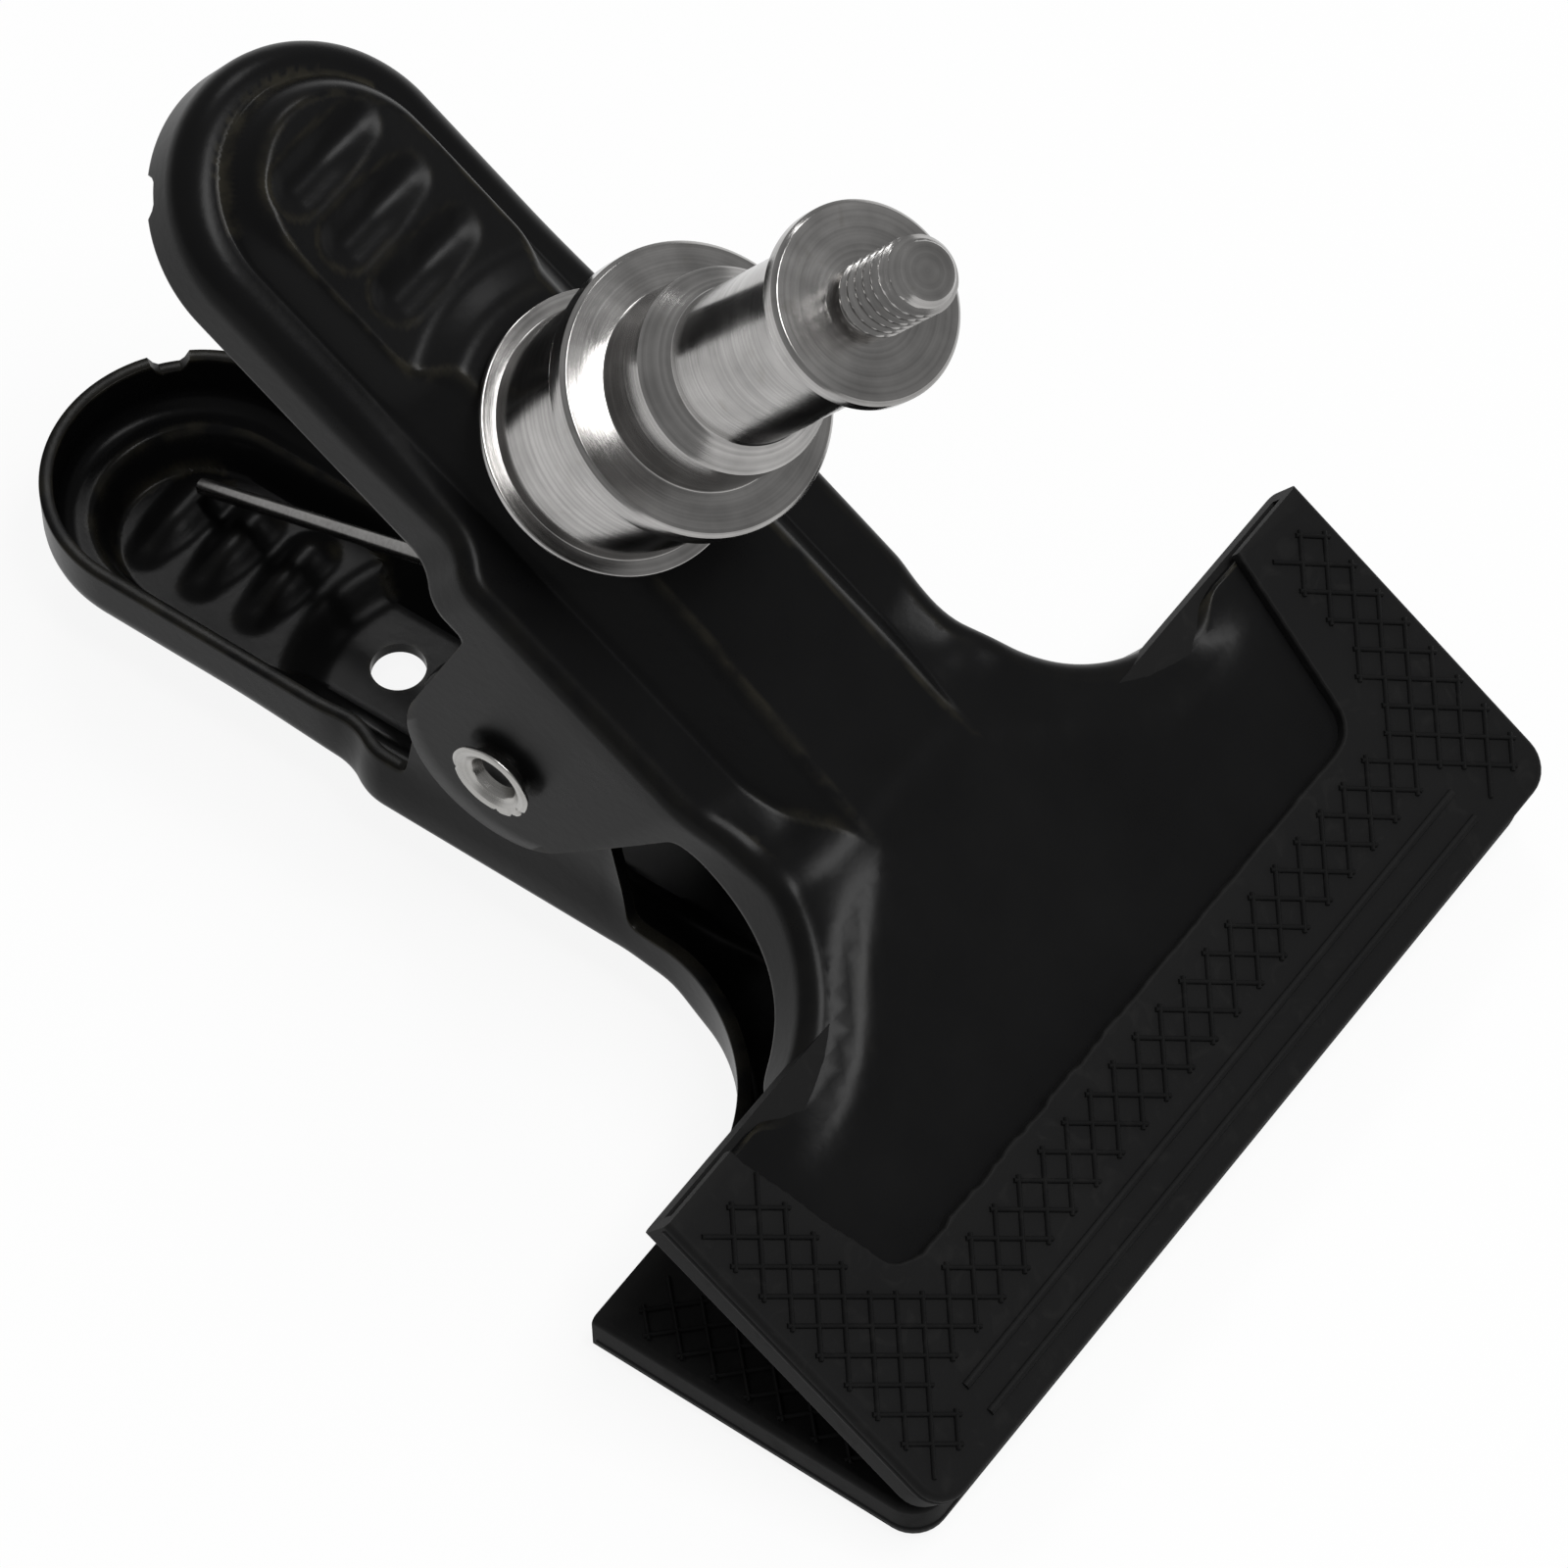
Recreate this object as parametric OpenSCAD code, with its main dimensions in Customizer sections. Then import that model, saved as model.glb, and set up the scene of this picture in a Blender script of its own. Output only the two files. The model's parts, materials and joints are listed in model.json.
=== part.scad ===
// Spring clamp with a light-stand spigot: two pressed-steel jaws in rubber covers,
// hinged on a hollow rivet and held shut by a torsion spring.
// The lower jaw lies flat on its outer face, +X runs from the handles to the mouth,
// and the origin is at the middle of the clamp's box, on the surface it lies on.
// Each jaw is drawn in its own frame: origin on the hinge axis, +X to the mouth, +Z outwards.

/* [Jaws] */
// Thickness of the pressed steel
sheet_t = 1.2; // [0.8:0.1:1.4]
// Hinge axis to the front of the rubber
jaw_reach = 61.8; // [58:0.2:70]
// Hinge axis to the end of the handle
handle_reach = 56.8; // [52:0.2:64]
// Width over the handle
handle_w = 26.4; // [25.6:0.1:28]
// Width over the cheeks of the upper jaw
neck_w = 31; // [30.6:0.1:34]
// Gap between the cheeks of the two jaws
cheek_gap = 0.2; // [0.1:0.05:0.5]
// Outer radius of the long bends
bend_r = 1.8; // [1.6:0.1:2.4]
// Radius of the scoops between cheeks and mouth
scoop_r = 15; // [13:0.5:18]
// How far the scoops run on under the rubber
scoop_reach = 0.6; // [0:0.1:1.5]
// Outer radius of the bend along the scoops
scoop_bend_r = 3; // [2:0.1:4]
// Length of the step where the handle widens into the cheeks
jog_l = 6; // [5:0.5:8]
// Hinge axis to the middle of that step
jog_x = -16.6; // [-18:0.2:-15.8]

/* [Pressed heights, from the hinge axis] */
// Rim beside the raised middle
rim_h = 18.25; // [17:0.05:19.5]
// Raised middle of the handle
handle_top_h = 21.95; // [20.8:0.05:22.6]
// Flat of the mouth
plate_h = 22.45; // [21.8:0.05:23.4]
// Seat under the spigot
seat_h = 23.85; // [23.4:0.05:24.6]
// Free edge of the handle's skirt
handle_edge_h = 12.15; // [11:0.05:14]
// Free edge just in front of the ear
front_edge_h = 13.4; // [12:0.1:15]
// How far that edge has risen a fifth of a scoop's radius behind the rubber, as a share of its way up
edge_rise = 0.37; // [0.3:0.01:0.45]

/* [Raised middle] */
// Half width of the handle's raised middle, at its foot
handle_foot = 9.7; // [9:0.05:10]
// Half width of the handle's raised middle, at its top
handle_top = 8.15; // [7:0.05:8.6]
// Half width of the neck's raised middle, at its foot
neck_foot = 9.8; // [9:0.05:10.8]
// Half width of the neck's raised middle, level with the mouth
neck_top = 6.8; // [6:0.05:7.6]
// Radius of the seat's round rear end, at its top
seat_r = 13.3; // [12.4:0.1:14.5]
// How far that end's slope reaches out, down to the handle's level
seat_slope = 2.9; // [2:0.1:4]
// How far the flat of the seat runs on in front of the spigot's flange
seat_margin = 0.3; // [0.1:0.1:2]
// Hinge axis to the foot of the ramp up to the mouth
ramp_x = 12.3; // [11:0.1:14]
// Length of that ramp
ramp_l = 6.5; // [5:0.1:9]
// Hinge axis to the end of the neck's raised middle
fall_x = 20.4; // [19:0.1:24]
// Rounding where that ramp meets the mouth
ramp_r = 2; // [1:0.1:4]
// Rounding along the top of the raised middle
crest_r = 1.5; // [1.45:0.05:2]
// Fillet at its foot
foot_r = 0.8; // [0.4:0.1:1]

/* [Finger grooves] */
// Hinge axis to the groove nearest the hinge
groove_x = -35.7; // [-37:0.1:-34.5]
// Distance between grooves
groove_pitch = 5.8; // [5.2:0.1:6]
// Radius of a groove's floor
groove_r = 1.1; // [0.9:0.05:1.3]
// Depth of a groove
groove_depth = 0.9; // [0.5:0.05:1]
// Length of a groove between its end centres
groove_l = 7.8; // [6:0.1:9]

/* [Ears and hinge] */
// Radius of the ear round the rivet
ear_r = 8.8; // [7.5:0.1:9.5]
// Hinge axis down to the middle of that radius
ear_drop = 1.3; // [0:0.1:2]
// Lean of the ear's sides
ear_taper = 10.8; // [8:0.1:12]
// Radius of the rivet
rivet_r = 2.5; // [2.2:0.05:2.8]
// Radius of the rivet's bore
rivet_bore_r = 1.7; // [1.2:0.05:1.9]
// Radius of the rivet's rolled end
flare_r = 3.7; // [3.3:0.05:4.5]
// How far the rolled end stands off the cheek
flare_l = 1.4; // [0.8:0.05:1.6]
// Radial clearance of the rivet in the ears
rivet_fit = 0.05; // [0.02:0.01:0.09]
// Gap between the rivet's ends and the cheeks
end_gap = 0.1; // [0.05:0.05:0.3]

/* [Holes] */
// Hinge axis to the spigot's axis
spigot_x = -16.1; // [-18:0.1:-15]
// Hinge axis to the hanging hole in the lower jaw
hang_x = -23.5; // [-25:0.1:-22]
// Radius of the hanging hole
hang_r = 2.4; // [2:0.05:3]
// Width of the notch in the handle's skirt
notch_w = 3.2; // [2:0.1:5]
// Depth of that notch
notch_h = 1.3; // [0.5:0.1:2]
// Angle of the notch from the handle's end
notch_angle = 42; // [30:1:60]

/* [Rubber covers] */
// Width over the rubber
cover_w = 87.5; // [82:0.5:94]
// Length of the rubber, front to back
cover_l = 32.5; // [28:0.1:36]
// Rubber over the outer face
cover_t = 1.15; // [1:0.05:1.5]
// Rubber under the steel, on the face that grips
cover_pad_t = 1.85; // [1.5:0.05:2.2]
// Rubber at the sides
cover_side_t = 1.5; // [1.2:0.1:2.5]
// Rubber at the front
cover_front_t = 1.5; // [1.2:0.1:2.5]
// Gap between the two covers at the closed tips
tip_gap = 0.25; // [0.2:0.05:0.5]
// Corner radius seen from above
cover_corner_r = 3; // [2:0.1:5]
// Rounding of the front edges
cover_edge_r = 0.8; // [0.4:0.1:1.2]
// Clearance of the steel in the rubber
cover_fit = 0.05; // [0.02:0.01:0.1]
// Back of the cover to the front of its window
window_l = 17.2; // [14:0.1:20]
// Half width of the window at the back
window_back = 36; // [34.5:0.1:38]
// Half width of the window at the front
window_front = 31.6; // [28:0.1:33]
// Corner radius of the window
window_r = 2.6; // [1:0.1:5]
// Distance from the front to the first long rib
rib_inset = 2.7; // [2:0.1:5]
// Distance between the two long ribs
rib_pitch = 2.9; // [2:0.1:4]
// Width of a long rib
rib_w = 0.7; // [0.4:0.1:1]
// Height of a long rib
rib_h = 0.25; // [0.15:0.05:0.4]
// Length of a long rib
rib_l = 69.4; // [60:0.2:74]

/* [Spring] */
// Wire diameter
wire_d = 1.5; // [1.3:0.05:1.7]
// Radius of the coil to the middle of the wire
coil_r = 3.9; // [3.8:0.05:4.6]
// Whole turns, less the part that the legs leave open
coil_turns = 6; // [4:1:7]
// Gap from turn to turn
coil_gap = 0.5; // [0.45:0.05:0.9]
// Length of each leg along its jaw, from the hinge axis
leg_reach = 46.9; // [40:0.1:49]
// Distance of each leg's tip from the middle plane
leg_tip_y = 3.3; // [2:0.1:5]
// Gap between a leg's tip and the ridge it bears on
leg_gap = 0.3; // [0.2:0.05:0.6]

/* [Spigot] */
// Radius of the spigot's head and of its 5/8 inch step
head_r = 8; // [7.8:0.05:8.3]
// Radius of the step above the upper flange
step_r = 8.27; // [8:0.01:8.6]
// Radius of the neck
neck_r = 6.35; // [5.5:0.05:7]
// Radius of the upper flange
flange_r = 11.86; // [11:0.02:13]
// Radius of the base flange
base_flange_r = 11.74; // [11:0.02:13]
// Radius of the base drum
base_r = 10.4; // [9.5:0.05:10.8]
// Thickness of the base flange
base_flange_t = 1.6; // [1.2:0.05:2.5]
// Height of the base
base_h = 14.2; // [10:0.1:18]
// Thickness of the upper flange
flange_t = 2.4; // [1.5:0.05:3]
// Height of the step above the upper flange
step_l = 6.15; // [4:0.05:8]
// Height of the cone from step to neck
cone_l = 1.7; // [1:0.05:2.5]
// Upper flange's face to the head's face
stud_l = 28.45; // [24:0.05:32]
// Thickness of the head's rim
head_t = 1.6; // [1.2:0.05:3]
// Height of the cone under the head
under_head_l = 1.9; // [1.5:0.05:3]
// Major radius of the 1/4 inch thread
thread_r = 3.175; // [3.1:0.005:4.8]
// Length of the thread beyond the head
thread_l = 9.6; // [8:0.1:14]
// Chamfer at the thread's end
thread_chamfer = 0.8; // [0.4:0.1:1.2]
// Chamfer of the upper flange and the head
rim_chamfer = 0.45; // [0.2:0.05:0.6]

/* [Fixing screw] */
// Radius of the screw's shank
screw_r = 2.5; // [2:0.05:2.6]
// Length under the screw's head
screw_l = 25; // [20:1:30]
// Radius of the screw's head
screw_head_r = 4.4; // [4:0.1:4.6]
// Height of the screw's head
screw_head_h = 2.8; // [2.2:0.1:4]
// Half length of the cross recess in the screw's head
recess_r = 2.4; // [2:0.1:3]
// Width of that recess
recess_w = 1; // [0.8:0.1:1.2]
// Thickness of the lock washer
washer_t = 1.2; // [0.8:0.1:1.6]
// Radius of the lock washer
washer_r = 4.6; // [4:0.1:4.8]
// Width of the lock washer's split
washer_gap = 0.6; // [0.4:0.1:1]
// Radial clearance round the screw
screw_fit = 0.05; // [0.02:0.01:0.3]

/* [Hidden] */
$fn = 64;

paint = "#1b1b1c";
rubber = "#242424";
zinc = "#c9c9c6";
wire = "#d8d8d6";
nickel = "#b4b3af";

// Round stretches of an outline are drawn in this many steps
arc_steps = 5;
// The ear's round end is drawn in this many
ear_steps = 20;
// How far a cutting shape runs past what it cuts
over = 1;

lobe_r = handle_w / 2;
lobe_x = lobe_r - handle_reach;
upper_half = neck_w / 2;
lower_half = upper_half - sheet_t - cheek_gap;
cover_back = jaw_reach - cover_l;
scoop_x = cover_back + scoop_reach - scoop_r;
plate_front = jaw_reach - cover_front_t;
plate_half = cover_w / 2 - cover_side_t;
cover_h = plate_h + cover_t;
pad_h = plate_h - sheet_t - cover_pad_t;
foot_margin = 1.5 * foot_r;
ear_low = -ear_drop - ear_r;
form_low = ear_low - over;
mid_low = rim_h - 3 * sheet_t;

// Angle between the jaws at which the rounded tips of their covers lie tip_gap apart
tip_centre = [jaw_reach - cover_edge_r, pad_h + cover_edge_r];
tip_turn = acos((tip_gap / 2 + cover_edge_r) / norm(tip_centre));
closed_angle = 2 * (tip_turn - atan2(tip_centre.x, tip_centre.y));

hinge_z = max(seat_h, cover_h + rib_h);
tip_back_x = tip_centre.x * cos(closed_angle)
  + (cover_h - cover_edge_r) * sin(closed_angle) + cover_edge_r;
hinge_x = (handle_reach - max(tip_back_x, jaw_reach)) / 2;

// ---- outlines ----

function unit(v) = v / norm(v);

// Arc of radius r in the corner at q, between the edges from p and to s
function corner(p, q, s, r) =
  let (
    u = unit(p - q),
    v = unit(s - q),
    half = acos(u * v) / 2,
    c = q + unit(u + v) * r / sin(half),
    a = q + u * r / tan(half) - c,
    b = q + v * r / tan(half) - c,
    from = atan2(a.y, a.x),
    turn = (atan2(b.y, b.x) - from + 540) % 360 - 180
  ) [for (i = [0:arc_steps]) let (w = from + turn * i / arc_steps) c + r * [cos(w), sin(w)]];

// The outline with each corner rounded to its radius, and 0 for a sharp one
function rounded(points, radii) =
  let (n = len(points))
  [
    for (i = [0:n - 1])
      each radii[i] > 0
        ? corner(points[(i + n - 1) % n], points[i], points[(i + 1) % n], radii[i])
        : [points[i]]
  ];

function mirrored(points) = [for (i = [len(points) - 1:-1:0]) [-points[i].x, points[i].y]];

// How far a bend in a slope moves sideways when the skin is drawn in by t
function shift(rise, run, t) = t * tan(atan2(rise, run) / 2);

// ---- sweeps ----

// Along +X from x0 to x1, from an outline in Y and Z
module along(x0, x1) {
  translate([x0, 0, 0]) rotate([90, 0, 90]) linear_extrude(x1 - x0) children();
}

// Across the middle plane, from an outline in X and Z
module across(w) {
  translate([0, w / 2, 0]) rotate([90, 0, 0]) linear_extrude(w) children();
}

// Both sides of the middle plane
module both() {
  children();
  mirror([0, 1, 0]) children();
}

// Right half of a channel's section, its skin drawn in by t
function channel_half(w, t) = rounded(
  [[0, form_low - t], [w - t, form_low - t], [w - t, rim_h - t], [0, rim_h - t]],
  [0, 0, bend_r - t, 0]
);

// Right half of the raised middle's section
function middle_half(foot, top, h, foot_level, t) =
  let (s = shift(h - foot_level, foot - top, t))
  rounded(
    [
      [0, mid_low], [foot + foot_margin, mid_low], [foot + foot_margin, foot_level - t],
      [foot - s, foot_level - t], [top - s, h - t], [0, h - t]
    ],
    [0, 0, 0, foot_r + t, crest_r - t, 0]
  );

module half(points) {
  polygon(points);
}

module whole(points) {
  polygon(concat(points, mirrored(points)));
}

// ---- the pressing, as the solid inside its outer skin, drawn in by t ----

module handle_form(t) {
  translate([lobe_x, 0, 0]) rotate([0, 0, 90]) rotate_extrude(angle = 180) half(channel_half(lobe_r, t));
  along(lobe_x, jog_x - jog_l / 2) whole(channel_half(lobe_r, t));
}

// An S of two equal arcs carries the skirt from the handle out to the cheek
module jog_form(cheek, t) {
  step = cheek - lobe_r;
  r = (jog_l * jog_l + step * step) / (4 * step);
  turn = 2 * atan(step / jog_l);
  x0 = jog_x - jog_l / 2;
  x1 = jog_x + jog_l / 2;
  band = 2 * bend_r;
  both() {
    translate([x0, lobe_r + r, 0]) rotate([0, 0, -90]) rotate_extrude(angle = turn)
      polygon(rounded(
        [[r + t, form_low - t], [r + band, form_low - t], [r + band, rim_h - t], [r + t, rim_h - t]],
        [0, 0, 0, bend_r - t]
      ));
    translate([x1, cheek - r, 0]) rotate([0, 0, 90]) rotate_extrude(angle = turn)
      half(channel_half(r, t));
  }
  translate([x0, -lobe_r + bend_r, form_low - t])
    cube([jog_l, 2 * (lobe_r - bend_r), rim_h - form_low]);
}

module cheek_form(cheek, t) {
  along(jog_x + jog_l / 2, ramp_x) whole(channel_half(cheek, t));
}

// What a scoop takes away, from its middle outwards, with the bend along its rim
module scoop_section(t) {
  outer = scoop_r + 2 * scoop_bend_r;
  low = form_low - over - t;
  high = plate_h + over;
  polygon(rounded(
    [[0, low], [scoop_r + t, low], [scoop_r + t, plate_h - t], [outer, plate_h - t], [outer, high], [0, high]],
    [0, 0, scoop_bend_r - t, 0, 0, 0]
  ));
}

// The mouth's flat, its ramp and the scoops at either side
module mouth_form(cheek, t) {
  s = shift(plate_h - rim_h, ramp_l, t);
  front = plate_front + (t > 0 ? over : 0);
  side = plate_half + (t > 0 ? over : 0);
  back = scoop_x + scoop_r - (t > 0 ? over : 0);
  scoop_y = cheek + scoop_r;
  difference() {
    across(2 * side) polygon(rounded(
      [
        [ramp_x, form_low - t], [front, form_low - t], [front, plate_h - t],
        [ramp_x + ramp_l + s, plate_h - t], [ramp_x + s, rim_h - t], [ramp_x, rim_h - t]
      ],
      [0, 0, 0, ramp_r, 0, 0]
    ));
    both() {
      translate([scoop_x, scoop_y, 0]) rotate_extrude() scoop_section(t);
      translate([0, scoop_y, 0]) mirror([0, 1, 0]) along(ramp_x - over, scoop_x) scoop_section(t);
      translate([ramp_x - over, scoop_y, form_low - 2 * over])
        cube([back - ramp_x + over, side, plate_h - form_low + 3 * over]);
    }
  }
}

module handle_middle(t) {
  outline = middle_half(handle_foot, handle_top, handle_top_h, rim_h, t);
  translate([lobe_x, 0, 0]) rotate([0, 0, 90]) rotate_extrude(angle = 180) half(outline);
  along(lobe_x, spigot_x) whole(outline);
}

// The neck's raised middle: seat for the spigot, then a long fall to the mouth's level
module neck_middle(t) {
  slope = (plate_h - rim_h) / (neck_foot - neck_top);
  seat_half = neck_top - (seat_h - plate_h) / slope;
  seat_tan = (seat_h - handle_top_h) / seat_slope;
  depth = seat_h - mid_low;
  s = shift(seat_tan, 1, t);
  seat_front = spigot_x + base_flange_r + seat_margin;
  intersection() {
    along(spigot_x - seat_r - depth / seat_tan, fall_x + over)
      whole(middle_half(neck_foot, seat_half, seat_h, rim_h, t));
    across(2 * neck_w) polygon([
      [-handle_reach, mid_low], [fall_x + over, mid_low],
      [fall_x + over, plate_h - t], [fall_x, plate_h - t],
      [seat_front, seat_h - t], [-handle_reach, seat_h - t]
    ]);
    union() {
      translate([spigot_x, 0, mid_low - t])
        cylinder(r1 = seat_r - s + depth / seat_tan, r2 = seat_r - s, h = depth);
      translate([spigot_x, -neck_w, mid_low - t]) cube([jaw_reach, 2 * neck_w, depth + t]);
    }
  }
}

module grooves(t) {
  for (i = [0:2]) {
    x = groove_x - i * groove_pitch;
    z = handle_top_h - groove_depth + groove_r;
    translate([x, groove_l / 2, z]) rotate([90, 0, 0]) cylinder(r = groove_r + t, h = groove_l);
    both() translate([x, groove_l / 2, z]) sphere(r = groove_r + t);
  }
}

module jaw_form(cheek, t) {
  difference() {
    union() {
      handle_form(t);
      jog_form(cheek, t);
      cheek_form(cheek, t);
      mouth_form(cheek, t);
      handle_middle(t);
      neck_middle(t);
    }
    grooves(t);
  }
}

// Side view of what is left after the blank's edge: skirts, ear and mouth
module edge_outline() {
  ear_end = [
    for (i = [0:ear_steps])
      let (w = 180 + ear_taper + (180 - 2 * ear_taper) * i / ear_steps)
      [ear_r * cos(w), -ear_drop + ear_r * sin(w)]
  ];
  back_x = ear_end[0].x - (handle_edge_h - ear_end[0].y) * tan(ear_taper);
  front_x = ear_end[ear_steps].x + (front_edge_h - ear_end[ear_steps].y) * tan(ear_taper);
  top = plate_h + 3 * over;
  low = plate_h - sheet_t - cover_fit / 2;
  polygon(concat(
    [[-handle_reach - over, handle_edge_h], [back_x, handle_edge_h]],
    ear_end,
    [
      [front_x, front_edge_h],
      [cover_back - scoop_r / 5, front_edge_h + edge_rise * (low - front_edge_h)],
      [cover_back - scoop_r / 12, front_edge_h + (1 + edge_rise) / 2 * (low - front_edge_h)],
      [cover_back, low], [jaw_reach, low], [jaw_reach, top], [-handle_reach - over, top]
    ]
  ));
}

module plate_corners() {
  corner_r = max(cover_corner_r - cover_side_t, 0.5);
  translate([0, 0, form_low - over]) linear_extrude(seat_h - form_low + 3 * over) polygon(rounded(
    [
      [-handle_reach - over, -plate_half], [plate_front, -plate_half],
      [plate_front, plate_half], [-handle_reach - over, plate_half]
    ],
    [0, corner_r, corner_r, 0]
  ));
}

module jaw(cheek) {
  difference() {
    intersection() {
      jaw_form(cheek, 0);
      across(cover_w) edge_outline();
      plate_corners();
    }
    jaw_form(cheek, sheet_t);
    translate([0, cheek + over, 0]) rotate([90, 0, 0])
      cylinder(r = rivet_r + rivet_fit, h = 2 * (cheek + over));
    translate([lobe_x, 0, 0]) rotate([0, 0, 180 + notch_angle])
      translate([lobe_r - 2 * sheet_t, -notch_w / 2, handle_edge_h - over])
      cube([3 * sheet_t, notch_w, notch_h + over]);
  }
}

// ---- placing ----

module in_lower() {
  translate([hinge_x, 0, hinge_z]) rotate([180, 0, 0]) children();
}

module in_upper() {
  translate([hinge_x, 0, hinge_z]) rotate([0, closed_angle, 0]) children();
}

module on_spigot_axis(h) {
  in_upper() translate([spigot_x, 0, h]) children();
}

// ---- pieces ----

module lower_jaw() {
  color(paint) in_lower() difference() {
    jaw(lower_half);
    translate([hang_x, 0, rim_h]) cylinder(r = hang_r, h = seat_h);
  }
}

module upper_jaw() {
  color(paint) in_upper() difference() {
    jaw(upper_half);
    translate([spigot_x, 0, rim_h]) cylinder(r = screw_r + screw_fit, h = seat_h);
  }
}

module cover() {
  e = cover_edge_r;
  difference() {
    intersection() {
      translate([0, 0, pad_h]) linear_extrude(cover_h - pad_h) polygon(rounded(
        [
          [cover_back, -cover_w / 2], [jaw_reach, -cover_w / 2],
          [jaw_reach, cover_w / 2], [cover_back, cover_w / 2]
        ],
        [0, cover_corner_r, cover_corner_r, 0]
      ));
      across(cover_w + over) polygon(rounded(
        [[cover_back - over, pad_h], [jaw_reach, pad_h], [jaw_reach, cover_h], [cover_back - over, cover_h]],
        [0, e, e, 0]
      ));
    }
    translate([cover_back - over, -plate_half - cover_fit, plate_h - sheet_t - cover_fit]) cube([
      plate_front - cover_back + over + cover_fit, 2 * (plate_half + cover_fit), sheet_t + 2 * cover_fit
    ]);
    translate([0, 0, plate_h]) linear_extrude(cover_t + over) polygon(rounded(
      [
        [cover_back - over, -window_back], [cover_back + window_l, -window_front],
        [cover_back + window_l, window_front], [cover_back - over, window_back]
      ],
      [0, window_r, window_r, 0]
    ));
  }
  for (i = [0:1])
    translate([jaw_reach - rib_inset - i * rib_pitch, 0, cover_h - cover_t / 2])
      linear_extrude(cover_t / 2 + rib_h) rib_outline();
}

module rib_outline() {
  straight = rib_l - rib_w;
  translate([-rib_w / 2, -straight / 2]) square([rib_w, straight]);
  for (side = [-1, 1])
    translate([0, side * straight / 2]) circle(r = rib_w / 2);
}

module lower_cover() {
  color(rubber) in_lower() cover();
}

module upper_cover() {
  color(rubber) in_upper() cover();
}

// Hollow rivet: a pressed flange at the far end, and the near end rolled open
module pivot_rivet() {
  y0 = upper_half + end_gap;
  wall = rivet_r - rivet_bore_r;
  color(zinc) translate([hinge_x, 0, hinge_z]) rotate([90, 0, 0]) rotate_extrude() polygon(concat(
    [[rivet_bore_r, -y0 - wall], [flare_r, -y0 - wall], [flare_r, -y0], [rivet_r, -y0], [rivet_r, y0]],
    [for (i = [0:arc_steps]) let (a = 90 * i / arc_steps)
      [rivet_r + (flare_r - rivet_r) * (1 - cos(a)), y0 + (flare_l - wall / 2) * sin(a)]],
    [[flare_r, y0 + flare_l]],
    [for (i = [arc_steps:-1:0]) let (a = 90 * i / arc_steps)
      [rivet_bore_r + (flare_r - wall - rivet_bore_r) * (1 - cos(a)), y0 - wall + (flare_l + wall) * sin(a)]]
  ));
}

// ---- spring ----

// A leg runs straight from the coil to its tip, which bears on the handle's inner ridges
leg_tip_h = handle_top_h - sheet_t - groove_depth - wire_d / 2 - leg_gap;
leg_lean = atan2(leg_tip_h, leg_reach) - asin(coil_r / norm([leg_reach, leg_tip_h]));
coil_start = leg_lean - 90;
coil_sweep = 360 * (coil_turns - 1) + 180 - closed_angle - 2 * leg_lean;
coil_pitch = wire_d + coil_gap;
coil_half = coil_pitch * coil_sweep / 360 / 2;
rings_per_turn = 8;
wire_sides = 6;

function coil_point(turned) =
  let (a = coil_start + turned)
  [coil_r * cos(a), coil_half - coil_pitch * turned / 360, coil_r * sin(a)];

function coil_points(per_turn) =
  let (n = ceil(coil_sweep / 360 * per_turn))
  [for (i = [0:n]) coil_point(coil_sweep * i / n)];

function mix(a, b, f) = a + (b - a) * f;

// Rings a wire's width from each end keep the tube straight there
function leg_points(tip, root) =
  let (f = wire_d / norm(root - tip)) [tip, mix(tip, root, f), mix(tip, root, 1 - f)];

function reversed(list) = [for (i = [len(list) - 1:-1:0]) list[i]];

lower_tip = [-leg_reach, leg_tip_y, -leg_tip_h];
upper_tip = [
  -leg_reach * cos(closed_angle) + leg_tip_h * sin(closed_angle),
  -leg_tip_y,
  leg_reach * sin(closed_angle) + leg_tip_h * cos(closed_angle)
];
wire_path = concat(
  leg_points(lower_tip, coil_point(0)),
  coil_points(rings_per_turn),
  reversed(leg_points(upper_tip, coil_point(coil_sweep)))
);

function heading(path, i) = unit(path[min(i + 1, len(path) - 1)] - path[max(i - 1, 0)]);

function ring(path, i, r) =
  let (t = heading(path, i), u = unit(cross(t, [0, 1, 0])), v = cross(t, u))
  [for (k = [0:wire_sides - 1]) let (a = 360 * k / wire_sides) path[i] + r * (cos(a) * u + sin(a) * v)];

module tube(path, r) {
  n = len(path);
  s = wire_sides;
  polyhedron(
    points = [for (i = [0:n - 1]) each ring(path, i, r)],
    faces = concat(
      [for (i = [0:n - 2], k = [0:s - 1]) [i * s + k, (i + 1) * s + k, i * s + (k + 1) % s]],
      [for (i = [0:n - 2], k = [0:s - 1])
        [(i + 1) * s + k, (i + 1) * s + (k + 1) % s, i * s + (k + 1) % s]],
      [for (k = [1:s - 2]) [0, k, k + 1]],
      [for (k = [1:s - 2]) [(n - 1) * s, (n - 1) * s + k + 1, (n - 1) * s + k]]
    )
  );
}

// Least gap of the coil to itself, taken on points more than half a turn apart
fine_per_turn = 24;
fine = coil_points(fine_per_turn);
least_gap = min([
  for (i = [0:len(fine) - 1], j = [i + fine_per_turn / 2:1:len(fine) - 1]) norm(fine[i] - fine[j])
]) - wire_d;
echo(least_gap_of_spring_to_itself = least_gap);

module torsion_spring() {
  color(wire) translate([hinge_x, 0, hinge_z]) tube(wire_path, wire_d / 2);
}

// ---- spigot ----

stud_z = seat_h + base_h;
washer_z = seat_h - sheet_t - washer_t;
stud_depth = washer_z + screw_l - stud_z;

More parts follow.
